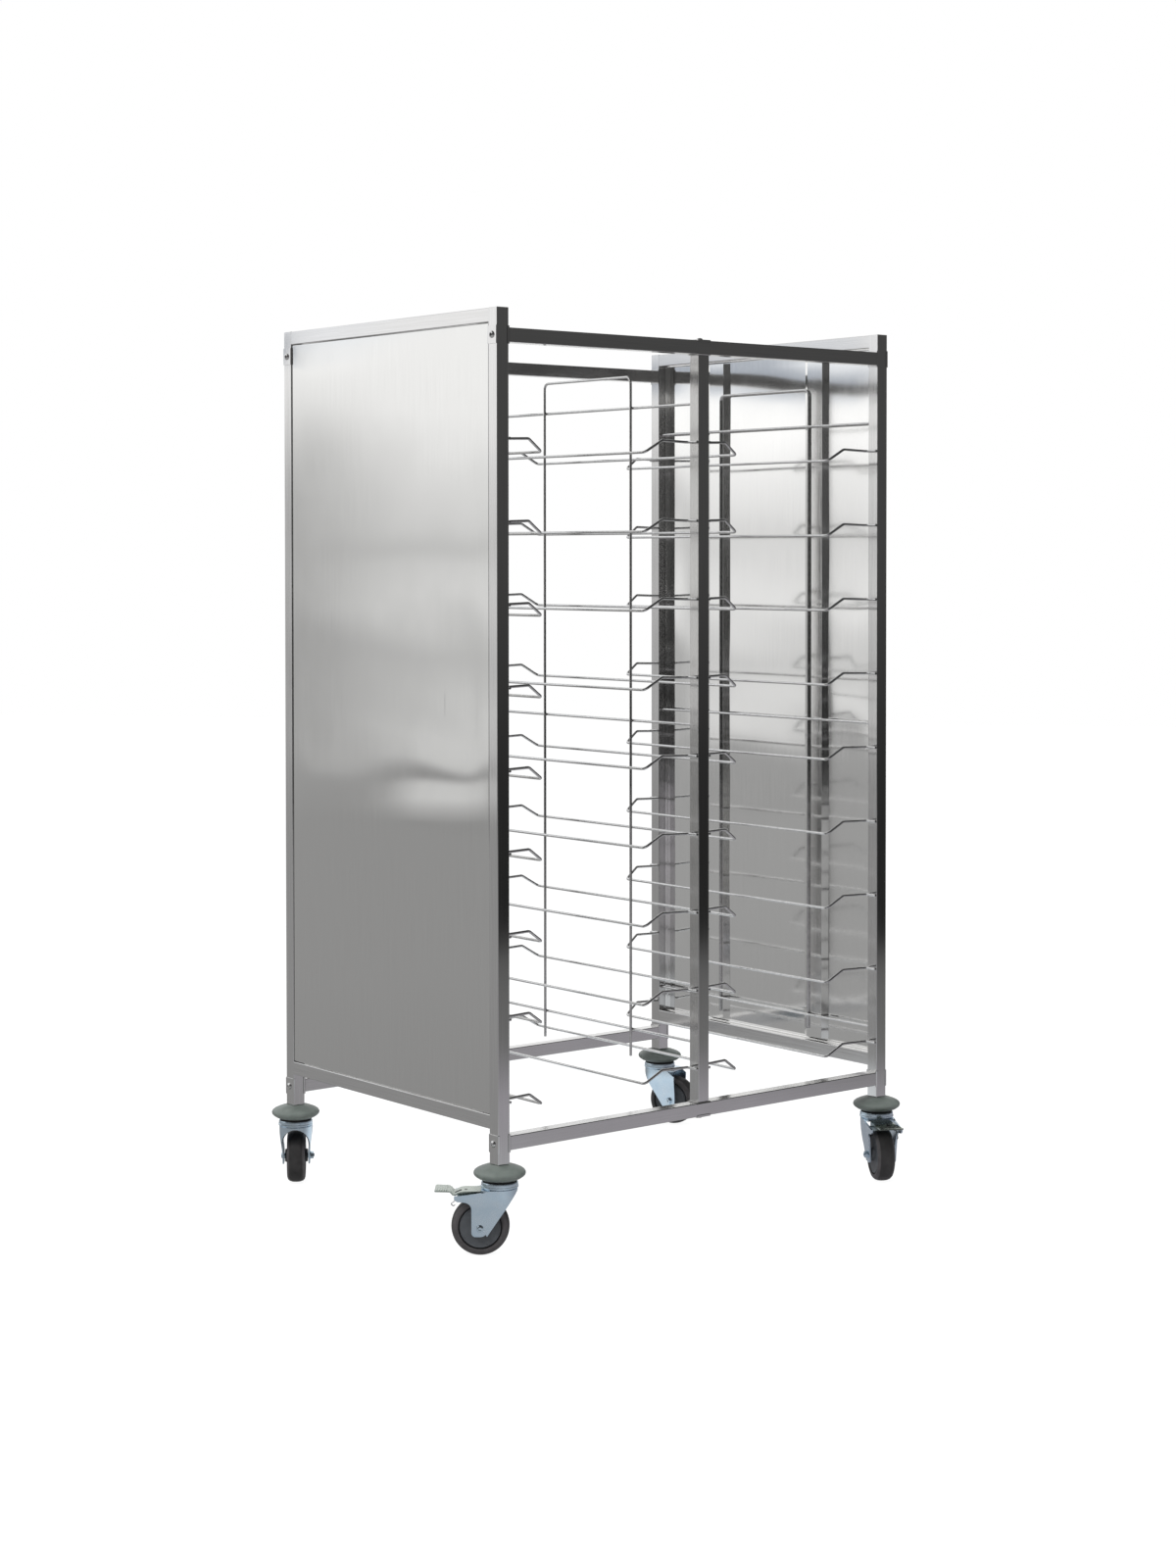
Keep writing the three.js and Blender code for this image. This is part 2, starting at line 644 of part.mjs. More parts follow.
const leftPanel = sidePanel();
place(cart, 'left_side_panel', leftPanel, panelSteel);
place(cart, 'right_side_panel', mirroredX(leftPanel), panelSteel);

for (const [end, y] of [['front', -postY], ['rear', postY]]) {
  place(cart, `${end}_top_rail`, crossRail(1), steel).position.set(0, y, topCrossZ);
  place(cart, `${end}_bottom_rail`, crossRail(-1), steel).position.set(0, y, bottomCrossZ);
}

const sideFace = frameWidth / 2 - tubeSide;
const runs = [
  { run: 'left', faceX: -sideFace, side: 1, lift: 0 },
  { run: 'centre_left', faceX: -tubeHalf, side: -1, lift: centreRunnerLift },
  { run: 'centre_right', faceX: tubeHalf, side: 1, lift: centreRunnerLift },
  { run: 'right', faceX: sideFace, side: -1, lift: 0 },
];
for (const { run, faceX, side, lift } of runs) {
  for (let level = 1; level <= levels; level += 1) {
    const weldZ = topZ - firstRunnerDrop - (level - 1) * levelPitch + lift;
    place(cart, `tray_runner_${run}_${level}`, trayRunner(faceX, side, weldZ), wireSteel);
  }
}

for (const [corner, degrees] of Object.entries(parked)) {
  const [end, side] = corner.split('_');
  const braked = end === 'front';
  const caster = new THREE.Group();
  caster.position.set(side === 'left' ? -postX : postX, braked ? -postY : postY, 0);
  caster.rotation.z = THREE.MathUtils.degToRad(degrees);
  cart.add(caster);
  place(caster, `bumper_${corner}`, bumper(), bumperRubber);
  place(caster, `caster_fork_${corner}`, casterFork(braked), zinc);
  place(caster, `caster_wheel_${corner}`, wheel(), wheelRubber).position.set(wheelTrail, 0, wheelRadius);
  if (braked) place(caster, `brake_pedal_${corner}`, brakePedal(), zinc);
}

export default cart;
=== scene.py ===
"""The looks of the tray cart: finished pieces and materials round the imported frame.

Pieces are drawn in millimetres from the frame's centre on the floor, +Z up, the front at -Y, and
turned into metres in the row's frame when they are made.
"""

import json
import math

import bmesh
import bpy
from mathutils import Matrix, Vector


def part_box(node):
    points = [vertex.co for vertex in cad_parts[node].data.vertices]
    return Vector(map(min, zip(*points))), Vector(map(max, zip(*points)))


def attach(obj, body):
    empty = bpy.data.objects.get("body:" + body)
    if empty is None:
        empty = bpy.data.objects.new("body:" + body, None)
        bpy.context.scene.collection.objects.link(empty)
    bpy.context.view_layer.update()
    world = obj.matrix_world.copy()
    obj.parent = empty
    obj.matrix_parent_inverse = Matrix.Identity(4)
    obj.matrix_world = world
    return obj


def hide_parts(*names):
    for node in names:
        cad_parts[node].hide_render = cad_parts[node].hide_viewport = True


MM = 0.001

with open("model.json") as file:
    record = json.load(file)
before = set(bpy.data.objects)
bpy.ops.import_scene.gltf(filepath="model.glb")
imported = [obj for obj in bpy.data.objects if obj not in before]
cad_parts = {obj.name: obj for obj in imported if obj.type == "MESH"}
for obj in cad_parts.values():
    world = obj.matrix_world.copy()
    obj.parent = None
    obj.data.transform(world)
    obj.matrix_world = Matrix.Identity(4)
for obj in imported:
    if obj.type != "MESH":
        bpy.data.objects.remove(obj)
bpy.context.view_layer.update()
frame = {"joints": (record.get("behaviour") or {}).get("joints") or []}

# ---------------- sizes, millimetres

GAP = 0.3
TUBE = 25.0
TUBE_RADIUS = 1.5
PANEL_RECESS = 1.5
SADDLE_LENGTH = 31.0
SADDLE_SHEET = 1.6
SADDLE_LIP = 3.2
SADDLE_SHORT_LIP = 1.2
SADDLE_CLEARANCE = 0.05
SADDLE_BEVEL = 0.35
TUBE_CHAMFER = 0.7
PLATED_CHAMFER = 0.3
RAIL_LAP = 2.0
RAIL_EASE = 0.4

WIRE = 5.0
WIRE_CROSSING = WIRE - 0.5
LEVELS = 9
LEVEL_PITCH = 142.0
FIRST_RUNNER_DROP = 222.0
CENTRE_RUNNER_LIFT = 5.0

GUARD_LEG_SPACING = 260.0
GUARD_LEG_FOOT = 1359.0
GUARD_BEND = 12.0
SIDE_GUARD = {"arch": 95.0, "bars": (168.0, 744.0, 1330.0)}
CENTRE_GUARD = {"arch": 89.0, "bars": (147.0, 730.0, 1309.0)}

WHEEL_RADIUS = 50.0
CORE_RADIUS = 36.5

# ---------------- places, from the frame

panel_low, panel_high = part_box("left_side_panel")
other_panel_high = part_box("right_side_panel")[1]
frame_low, frame_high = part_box("left_side_frame")
ORIGIN = Vector(((panel_low.x + other_panel_high.x) / 2, (panel_low.y + panel_high.y) / 2, 0))

TOP = frame_high.z / MM
FOOT = frame_low.z / MM
HALF_WIDTH = (other_panel_high.x - panel_low.x) / 2 / MM + PANEL_RECESS
BAY_HALF = (panel_high.y - panel_low.y) / 2 / MM + GAP
HALF_DEPTH = BAY_HALF + TUBE
HALF = TUBE / 2
POST_X = HALF_WIDTH - HALF
POST_Y = HALF_DEPTH - HALF
SIDE_FACE = HALF_WIDTH - TUBE
PANEL_LOW = panel_low.z / MM
PANEL_HIGH = panel_high.z / MM
SIDE_RAIL_Z = PANEL_LOW - GAP - HALF
TOP_CROSS_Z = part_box("front_top_rail")[0].z / MM + SADDLE_LENGTH / 2
BOTTOM_CROSS_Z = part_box("front_bottom_rail")[1].z / MM - SADDLE_LENGTH / 2

# Each end of the cart, and the side of the centre it lies on along Y.
ENDS = (("front", -1), ("rear", 1))


# ---------------- materials


def node(tree, kind, inputs=None, **settings):
    made = tree.nodes.new(kind)
    for key, value in settings.items():
        setattr(made, key, value)
    for key, value in (inputs or {}).items():
        if isinstance(value, bpy.types.NodeSocket):
            tree.links.new(value, made.inputs[key])
        else:
            made.inputs[key].default_value = value
    return made


def mapped(tree, source, low, high, to_low, to_high):
    """The source value's range low..high carried to to_low..to_high."""
    inputs = {"Value": source, "From Min": low, "From Max": high, "To Min": to_low, "To Max": to_high}
    return node(tree, "ShaderNodeMapRange", inputs).outputs["Result"]


def noise(tree, scale, detail=3.0, roughness=0.5, factors=(1, 1, 1)):
    """Noise in object space, finer along each axis by a factor of its own."""
    where = node(tree, "ShaderNodeTexCoord").outputs["Object"]
    scaled = node(tree, "ShaderNodeMapping", {"Vector": where, "Scale": factors}).outputs["Vector"]
    inputs = {"Vector": scaled, "Scale": scale, "Detail": detail, "Roughness": roughness}
    return node(tree, "ShaderNodeTexNoise", inputs).outputs["Fac"]


def spread(tree, cloud, low=0.0, high=1.0):
    """The middle of a noise's range carried to low..high."""
    return mapped(tree, cloud, 0.3, 0.7, low, high)


def shader(name, color, metallic, roughness, **inputs):
    material = bpy.data.materials.new(name)
    material.use_nodes = True
    bsdf = material.node_tree.nodes["Principled BSDF"]
    bsdf.inputs["Base Color"].default_value = (*color, 1)
    bsdf.inputs["Metallic"].default_value = metallic
    bsdf.inputs["Roughness"].default_value = roughness
    for key, value in inputs.items():
        bsdf.inputs[key.replace("_", " ")].default_value = value
    return material, material.node_tree, bsdf


def tinted(tree, bsdf, dark, light, cloud):
    """Colours a material from dark to light by a noise."""
    inputs = {"Factor": spread(tree, cloud), "A": (*dark, 1), "B": (*light, 1)}
    mix = node(tree, "ShaderNodeMix", inputs, data_type="RGBA")
    tree.links.new(mix.outputs["Result"], bsdf.inputs["Base Color"])


def roughened(tree, bsdf, cloud, low, high):
    """Varies a material's roughness from low to high by a noise."""
    tree.links.new(spread(tree, cloud, low, high), bsdf.inputs["Roughness"])


def bumped(tree, bsdf, height, distance):
    bump = node(tree, "ShaderNodeBump", {"Height": height, "Distance": distance, "Strength": 1.0})
    tree.links.new(bump.outputs["Normal"], bsdf.inputs["Normal"])


ALONG_GRAIN = 9.0


def brushed(name, grain, dark, light, rough, depth, anisotropic, fineness=900.0):
    """Stainless steel with a grain along one axis."""
    material, tree, bsdf = shader(name, light, 1.0, sum(rough) / 2, Anisotropic=anisotropic)
    factors = [ALONG_GRAIN if axis == grain else fineness for axis in "XYZ"]
    fine = noise(tree, 1.0, 2.0, factors=factors)
    smudge = noise(tree, 7.0, 3.0, 0.6)
    tinted(tree, bsdf, dark, light, fine)
    streak = mapped(tree, fine, 0.25, 0.75, *rough)
    patch = mapped(tree, smudge, 0.35, 0.7, 0.85, 1.2)
    product = node(tree, "ShaderNodeMath", {0: streak, 1: patch}, operation="MULTIPLY")
    tree.links.new(product.outputs[0], bsdf.inputs["Roughness"])
    bumped(tree, bsdf, fine, depth)
    if anisotropic:
        along = node(tree, "ShaderNodeTangent", direction_type="RADIAL", axis=grain)
        tree.links.new(along.outputs["Tangent"], bsdf.inputs["Tangent"])
    return material


def tube_steel(grain):
    return brushed(f"tube_steel_{grain.lower()}", grain, (0.64, 0.635, 0.63), (0.71, 0.705, 0.70),
                   (0.1, 0.16), depth=0.000003, anisotropic=0.6)


def wire_steel():
    material, tree, bsdf = shader("wire_steel", (0.7, 0.7, 0.7), 1.0, 0.09)
    mottle = noise(tree, 260.0, 2.0)
    roughened(tree, bsdf, mottle, 0.06, 0.12)
    tinted(tree, bsdf, (0.6, 0.6, 0.6), (0.78, 0.775, 0.77), mottle)
    return material


def weld_steel():
    material, tree, bsdf = shader("weld_steel", (0.35, 0.34, 0.33), 1.0, 0.42)
    beading = noise(tree, 700.0)
    tinted(tree, bsdf, (0.2, 0.18, 0.17), (0.5, 0.49, 0.48), beading)
    bumped(tree, bsdf, beading, 0.0003)
    return material


def zinc(name, dark, light):
    material, tree, bsdf = shader(name, light, 1.0, 0.26)
    cloud = noise(tree, 40.0, 4.0, 0.6)
    grit = noise(tree, 900.0, 2.0)
    tinted(tree, bsdf, dark, light, cloud)
    roughened(tree, bsdf, cloud, 0.2, 0.3)
    bumped(tree, bsdf, grit, 0.00002)
    return material


def rubber(name, dark, light, roughness):
    material, tree, bsdf = shader(name, light, 0.0, roughness, Specular_IOR_Level=0.4)
    cloud = noise(tree, 60.0)
    pores = noise(tree, 1400.0)
    tinted(tree, bsdf, dark, light, cloud)
    roughened(tree, bsdf, pores, roughness - 0.06, roughness + 0.08)
    bumped(tree, bsdf, pores, 0.00004)
    return material


STEEL_X, STEEL_Y, STEEL_Z = (tube_steel(grain) for grain in "XYZ")
PANEL = brushed("panel_steel", "Z", (0.715, 0.712, 0.70), (0.75, 0.748, 0.735), (0.09, 0.105),
                depth=0.0000012, anisotropic=0.9, fineness=1500.0)
# The panels' inner faces: a smoother finish, and a lighter colour than the outer faces' that paints in
# the brighter light they catch.
INSIDE_STEEL_PAINTED_LIGHT = brushed("panel_steel_inside_painted_light", "Z", (0.85, 0.847, 0.836), (0.885, 0.882, 0.87), (0.06, 0.1),
                 depth=0.0000008, anisotropic=0.0, fineness=700.0)
WIRE_STEEL = wire_steel()
WELD = weld_steel()
ZINC = zinc("zinc_plate", (0.58, 0.71, 0.82), (0.72, 0.82, 0.90))
# The brake lever's zinc, with a warm reflection painted into its greenish colour.
LEVER_ZINC_PAINTED_REFLECTION = zinc("lever_zinc_painted_reflection", (0.44, 0.50, 0.45), (0.56, 0.62, 0.56))
BUMPER = rubber("bumper_rubber", (0.122, 0.142, 0.128), (0.16, 0.182, 0.165), 0.4)
TREAD = rubber("tyre_rubber", (0.02, 0.019, 0.019), (0.034, 0.032, 0.032), 0.5)
FLANK = rubber("tyre_flank_rubber", (0.05, 0.046, 0.047), (0.073, 0.067, 0.069), 0.45)
CORE = rubber("wheel_core", (0.058, 0.062, 0.068), (0.078, 0.083, 0.09), 0.46)
# Black rubber for the swivel's seal; the same near-black also stands as painted shade in the wheels'
# groove and the lever's hole and slot.
SEAL_AND_SHADE = rubber("seal_rubber_and_painted_shade", (0.006, 0.006, 0.007), (0.012, 0.012, 0.013), 0.6)


# ---------------- shapes


class Shape:
    """Vertices in millimetres and faces, built up from simpler shapes."""

    def __init__(self, verts=(), faces=()):
        self.verts = [Vector(v) for v in verts]
        self.faces = [tuple(f) for f in faces]

    def add(self, other):
        start = len(self.verts)
        self.verts += other.verts
        self.faces += [tuple(i + start for i in face) for face in other.faces]

    def moved(self, x=0.0, y=0.0, z=0.0):
        return Shape([v + Vector((x, y, z)) for v in self.verts], self.faces)

    def turned(self, degrees, axis):
        turn = Matrix.Rotation(math.radians(degrees), 3, axis)
        return Shape([turn @ v for v in self.verts], self.faces)

    def mirrored(self):
        """The mirror image across X = 0."""
        flipped = [Vector((-v.x, v.y, v.z)) for v in self.verts]
        return Shape(flipped, [tuple(reversed(face)) for face in self.faces])


def joined(shapes):
    whole = Shape()
    for shape in shapes:
        whole.add(shape)
    return whole


def lofted(rings, closed=False):
    """Rings of points skinned one to the next, with the end rings filled unless closed."""
    count = len(rings[0])
    shape = Shape([p for ring in rings for p in ring])
    spans = len(rings) if closed else len(rings) - 1
    for i in range(spans):
        a, b = i * count, ((i + 1) % len(rings)) * count
        for k in range(count):
            n = (k + 1) % count
            shape.faces.append((a + k, a + n, b + n, b + k))
    if not closed:
        shape.faces.append(tuple(reversed(range(count))))
        shape.faces.append(tuple(range((len(rings) - 1) * count, len(rings) * count)))
    return shape


def rounded_square(side, inset):
    """Points round a tube's section, counter-clockwise, drawn inset by a margin."""
    steps = 5
    radius = TUBE_RADIUS - inset
    reach = side / 2 - inset - radius
    points = []
    for corner, (sx, sy) in enumerate(((1, 1), (-1, 1), (-1, -1), (1, -1))):
        for k in range(steps + 1):
            angle = math.pi / 2 * (corner + k / steps)
            points.append((sx * reach + radius * math.cos(angle), sy * reach + radius * math.sin(angle)))
    return points


def bar(axis, low, high, side=TUBE, chamfer=TUBE_CHAMFER):
    """A square tube's outside along an axis, centred on the other two."""
    step = chamfer * 0.3
    stations = ((low, chamfer), (low + step, step), (low + chamfer, 0.0),
                (high - chamfer, 0.0), (high - step, step), (high, chamfer))
    rings = []
    for along, inset in stations:
        rings.append([{"x": (along, u, v), "y": (v, along, u), "z": (u, v, along)}[axis]
                      for u, v in rounded_square(side, inset)])
    return lofted(rings)


def circle(count):
    """The cosine and sine of angles spread evenly round a circle."""
    angles = [2 * math.pi * k / count for k in range(count)]
    return [(math.cos(angle), math.sin(angle)) for angle in angles]


def turned_profile(profile, segments=48):
    """A closed profile of (radius, height) points turned about Z."""
    rings = [[(r * cos, r * sin, z) for r, z in profile] for cos, sin in circle(segments)]
    shape = lofted(rings, closed=True)
    shape.faces = [tuple(reversed(face)) for face in shape.faces]
    return shape


def arc_points(corners):
    """A path through corners, each (point, radius), with its bends drawn as arcs."""
    step = math.radians(11)
    points = []
    for i, (at, radius) in enumerate(corners):
        at = Vector(at)
        if i in (0, len(corners) - 1) or not radius:
            points.append(at)
            continue
        inward = (at - Vector(corners[i - 1][0])).normalized()
        outward = (Vector(corners[i + 1][0]) - at).normalized()
        turn = inward.angle(outward)
        start = at - inward * radius * math.tan(turn / 2)
        side = (outward - inward * inward.dot(outward)).normalized()
        steps = max(2, math.ceil(turn / step))
        for k in range(steps + 1):
            angle = turn * k / steps
            points.append(start + inward * radius * math.sin(angle)
                          + side * radius * (1 - math.cos(angle)))
    return points


def wire(corners, diameter=WIRE, sides=14):
    """A round wire along a path of corners, with slightly domed ends."""
    path = arc_points(corners)
    tangents = []
    for i in range(len(path)):
        before = (path[i] - path[i - 1]).normalized() if i else None
        after = (path[i + 1] - path[i]).normalized() if i < len(path) - 1 else None
        tangents.append(((before or after) + (after or before)).normalized())
    normal = tangents[0].orthogonal().normalized()
    radius = diameter / 2
    rings = []
    for i, (point, tangent) in enumerate(zip(path, tangents)):
        normal = (normal - tangent * normal.dot(tangent)).normalized()
        across = tangent.cross(normal)
        spokes = [normal * cos + across * sin for cos, sin in circle(sides)]
        if i == 0:
            rings.append([point - tangent * 0.5 + spoke * radius * 0.6 for spoke in spokes])
        rings.append([point + spoke * radius for spoke in spokes])
        if i == len(path) - 1:
            rings.append([point + tangent * 0.5 + spoke * radius * 0.6 for spoke in spokes])
    return lofted(rings)


def blob(centre, size):
    """A smooth weld bead: an ellipsoid of three half sizes."""
    rings = 6
    x, y, z = centre
    stations = []
    for i in range(1, rings):
        polar = math.pi * i / rings
        wide = math.sin(polar)
        high = z - size[2] * math.cos(polar)
        stations.append([(x + size[0] * wide * cos, y + size[1] * wide * sin, high)
                         for cos, sin in circle(10)])
    return lofted(stations)


def plate(outline, low, high, axis="y"):
    """An outline pushed along an axis: of (x, z) points along y, or of (x, y) points along z."""
    return lofted([[(u, w, v) if axis == "y" else (u, v, w) for u, v in outline] for w in (low, high)])


def smoothstep(low, high, value):
    t = max(0.0, min(1.0, (value - low) / (high - low)))
    return t * t * (3 - 2 * t)


BEVEL_ANGLE = math.radians(40)
SMOOTH_ANGLE = math.radians(32)


def mesh_of(name, shape, bevel):
    bm = bmesh.new()
    verts = [bm.verts.new(v) for v in shape.verts]
    for face in shape.faces:
        bm.faces.new([verts[i] for i in face])
    bmesh.ops.remove_doubles(bm, verts=bm.verts, dist=1e-4)
    bmesh.ops.dissolve_degenerate(bm, dist=1e-4, edges=bm.edges)
    bmesh.ops.recalc_face_normals(bm, faces=bm.faces)
    if bevel:
        sharp = [e for e in bm.edges if len(e.link_faces) == 2 and e.calc_face_angle() > BEVEL_ANGLE]
        bmesh.ops.bevel(bm, geom=sharp, offset=bevel, segments=2, profile=0.5, affect="EDGES",
                        clamp_overlap=True)
    mesh = bpy.data.meshes.new(name)
    bm.to_mesh(mesh)
    bm.free()
    return mesh


def linked(name, data):
    made = bpy.data.objects.new(name, data)
    bpy.context.scene.collection.objects.link(made)
    return made


def piece(name, shape, material, body="cart", place=None, bevel=0.0, replaces=()):
    """Makes a piece of the cart, in the row's frame, riding on a body. Its large faces keep their
    own normals where they run into a rounded edge."""
    mesh = mesh_of(name, shape, bevel)
    if place is not None:
        mesh.transform(place)
    mesh.transform(Matrix.Translation(ORIGIN) @ Matrix.Scale(MM, 4))
    for polygon in mesh.polygons:
        polygon.use_smooth = True
    mesh.set_sharp_from_angle(angle=SMOOTH_ANGLE)
    mesh.materials.append(material)
    made = linked(name, mesh)
    normals = made.modifiers.new("normals", "WEIGHTED_NORMAL")
    normals.weight = 100
    normals.keep_sharp = True
    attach(made, body)
    if replaces:
        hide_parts(*replaces)
    return made


# ---------------- saddles and screws


def clip_outline(lips, clearance):
    """The bent strip of a saddle seen along the tube: the face looks along -X, lips are the
    depths of its two hooks, at -Y and at +Y."""
    steps = 6
    outer, inner = [], []
    for side, depth in zip((-1, 1), lips):
        run = [(depth, 1.0, 0.0)]
        for k in range(steps + 1):
            angle = math.pi / 2 * k / steps
            run.append((TUBE_RADIUS - TUBE_RADIUS * math.sin(angle), math.cos(angle), math.sin(angle)))
        for line, off in ((outer, clearance + SADDLE_SHEET), (inner, clearance)):
            points = []
            for x, across, forward in run:
                y = HALF - TUBE_RADIUS + TUBE_RADIUS * across
                points.append((x - off * forward, side * (y + off * across)))
            line += points if side < 0 else points[::-1]
    return outer + inner[::-1]


def saddle(lips, clearance):
    return plate(clip_outline(lips, clearance), -SADDLE_LENGTH / 2, SADDLE_LENGTH / 2, "z")


def dome_screw(radius=6.3, height=3.2):
    """A dome head with a hexagonal socket, standing up from Z = 0."""
    segments = 36
    socket = radius * 0.42
    depth = height * 0.75
    stations = [(radius, 0.0), (radius * 0.99, height * 0.22), (radius * 0.9, height * 0.55),
                (radius * 0.72, height * 0.82), (radius * 0.52, height * 0.97)]
    rings = [[(r * cos, r * sin, z) for cos, sin in circle(segments)] for r, z in stations]
    for z, grow in ((height, 1.06), (height - 0.25, 1.0), (height - depth, 1.0)):
        ring = []
        for k in range(segments):
            a = 2 * math.pi * k / segments
            flat = (a % (math.pi / 3)) - math.pi / 6
            r = socket * grow / math.cos(flat)
            ring.append((r * math.cos(a), r * math.sin(a), z))
        rings.append(ring)
    return lofted([[(x, y, -0.6) for x, y, _ in rings[0]]] + rings)


# ---------------- frame


def guard(drops, bar_x, leg_x):
    """An inverted U on three bars between the posts' inner faces."""
    shapes = [wire([((bar_x, -BAY_HALF, TOP - d), 0), ((bar_x, BAY_HALF, TOP - d), 0)])
              for d in drops["bars"]]
    leg = GUARD_LEG_SPACING / 2
    low, high = TOP - GUARD_LEG_FOOT, TOP - drops["arch"]
    shapes.append(wire([((leg_x, -leg, low), 0), ((leg_x, -leg, high), GUARD_BEND),
                        ((leg_x, leg, high), GUARD_BEND), ((leg_x, leg, low), 0)]))
    return joined(shapes)


def guard_welds(drops, bar_x, leg_x):
    """The beads where the bars cross the U's legs, then those at the bars' ends."""
    beads = []
    for x, y, size in (((bar_x + leg_x) / 2, GUARD_LEG_SPACING / 2, (1.6, 3.4, 3.4)),
                       (bar_x, BAY_HALF - 0.8, (3.6, 1.6, 3.6))):
        beads += [blob((x, side * y, TOP - d), size) for d in drops["bars"] for side in (-1, 1)]
    return joined(beads)


def on_side(name, shape):
    """A shape drawn for the left side, or its mirror image for the right."""
    return shape.mirrored() if name == "right" else shape


def side_frame(name):
    for end, side in ENDS:
        post = bar("z", FOOT, TOP).moved(-POST_X, side * POST_Y)
        replaced = (f"{name}_side_frame",) if end == "front" else ()
        piece(f"{name}_{end}_post", on_side(name, post), STEEL_Z, replaces=replaced)
    reach = BAY_HALF + RAIL_LAP
    for which, z in (("top", TOP - HALF - 0.1), ("bottom", SIDE_RAIL_Z)):
        rail = bar("y", -reach, reach, side=TUBE - RAIL_EASE).moved(-POST_X, 0, z)
        piece(f"{name}_frame_{which}_rail", on_side(name, rail), STEEL_Y)
    places = (SIDE_GUARD, -POST_X + WIRE_CROSSING, -POST_X)
    piece(f"{name}_guard", on_side(name, guard(*places)), WIRE_STEEL)
    piece(f"{name}_guard_welds", on_side(name, guard_welds(*places)), WELD)
    for end, side in ENDS:
        for level, z in (("top", TOP_CROSS_Z), ("bottom", BOTTOM_CROSS_Z)):
            inner_lip = SADDLE_SHORT_LIP if level == "top" else SADDLE_LIP
            lips = (SADDLE_LIP, inner_lip) if side < 0 else (inner_lip, SADDLE_LIP)
            clip = saddle(lips, SADDLE_CLEARANCE).moved(-HALF_WIDTH, side * POST_Y, z)
            piece(f"{name}_{end}_{level}_saddle", on_side(name, clip), STEEL_Z,
                  bevel=SADDLE_BEVEL)
            screw = dome_screw().turned(-90, "Y").moved(-HALF_WIDTH - SADDLE_SHEET, side * POST_Y, z)
            piece(f"{name}_{end}_{level}_screw", on_side(name, screw), WIRE_STEEL)


def end_saddle():
    """A hooked end plate on a face that looks along -X, just clear of the tube."""
    return saddle((SADDLE_LIP, SADDLE_LIP), GAP)


def centre_frame():
    high = TOP_CROSS_Z - HALF - GAP - SADDLE_SHEET
    low = BOTTOM_CROSS_Z + HALF + GAP + SADDLE_SHEET
    for end, side in ENDS:
        y = side * POST_Y
        replaced = ("centre_frame",) if end == "front" else ()
        post = bar("z", low, high, chamfer=PLATED_CHAMFER).moved(0, y)
        piece(f"centre_{end}_post", post, STEEL_Z, replaces=replaced)
        over = end_saddle().turned(-90, "Y").moved(0, y, TOP_CROSS_Z - HALF)
        under = end_saddle().turned(90, "Y").moved(0, y, BOTTOM_CROSS_Z + HALF)
        piece(f"centre_{end}_post_plates", joined([over, under]), STEEL_X,
              bevel=SADDLE_BEVEL)
    places = (CENTRE_GUARD, WIRE_CROSSING / 2, -WIRE_CROSSING / 2)
    piece("centre_guard", guard(*places), WIRE_STEEL)
    piece("centre_guard_welds", guard_welds(*places), WELD)


def cross_rail(name, y, z, side):
    """A rail between the side frames. side is 1 where its clamp and screw are on top, -1 below."""
    reach = SIDE_FACE - GAP - SADDLE_SHEET
    rail = bar("x", -reach, reach, chamfer=PLATED_CHAMFER).moved(0, y, z)
    piece(name, rail, STEEL_X, replaces=(name,))
    right = end_saddle().moved(SIDE_FACE, y, z)
    left = end_saddle().turned(180, "Z").moved(-SIDE_FACE, y, z)
    piece(f"{name}_end_plates", joined([right, left]), STEEL_Z, bevel=SADDLE_BEVEL)
    clamp = saddle((SADDLE_LIP, SADDLE_LIP), SADDLE_CLEARANCE).turned(side * 90, "Y")
    piece(f"{name}_clamp", clamp.moved(0, y, z + side * HALF), STEEL_X, bevel=SADDLE_BEVEL)
    tip = 0 if side > 0 else 180
    screw = dome_screw().turned(tip, "X").moved(0, y, z + side * (HALF + SADDLE_SHEET))
    piece(f"{name}_screw", screw, WIRE_STEEL)


# ---------------- side panels

PANEL_SHEET = 1.0
PANEL_BEND = 2.2
PANEL_FLANGE = 8.0
PANEL_MARGIN = 0.25
RIPPLE_MARGIN = 60.0
HAT_DEPTH = 7.6
HAT_HALF_CREST = 21.0
HAT_HALF_FOOT = 34.0
HAT_FOLD = 1.6
HAT_Y = 145.0
HAT_MARGIN = 4.0


def sheet_line(half, spans):
    """Stations across a panel: (place, depth) from one flange's edge to the other."""
    bend = PANEL_BEND
    flat = half - bend
    edge = [(half, PANEL_FLANGE), (half, (PANEL_FLANGE + bend) / 2)]
    for k in range(5):
        angle = math.pi / 2 * (1 - k / 4)
        edge.append((flat + bend * math.sin(angle), bend * (1 - math.cos(angle))))
    inner = [(-flat + 2 * flat * k / spans, 0.0) for k in range(1, spans)]
    return [(-u, x) for u, x in edge] + inner + [(u, x) for u, x in reversed(edge)]


def ripple(u, v):
    """The sheet's slight waviness, in millimetres, from the place on it in millimetres."""
    wave = 0.30 * math.sin(v / 62 + 0.9 * math.sin(u / 110) + 0.6)
    fine = 0.16 * math.sin(v / 31 - u / 150 + 1.3 * math.sin(v / 190))
    wave += fine * math.exp(-((v - 60) / 240) ** 2)
    wave += 0.35 * math.sin(u / 130 + v / 330 + 1.3)
    wave += 1.3 * math.exp(-((u + 235) / 120) ** 2 - ((v + 10) / 125) ** 2)
    return wave


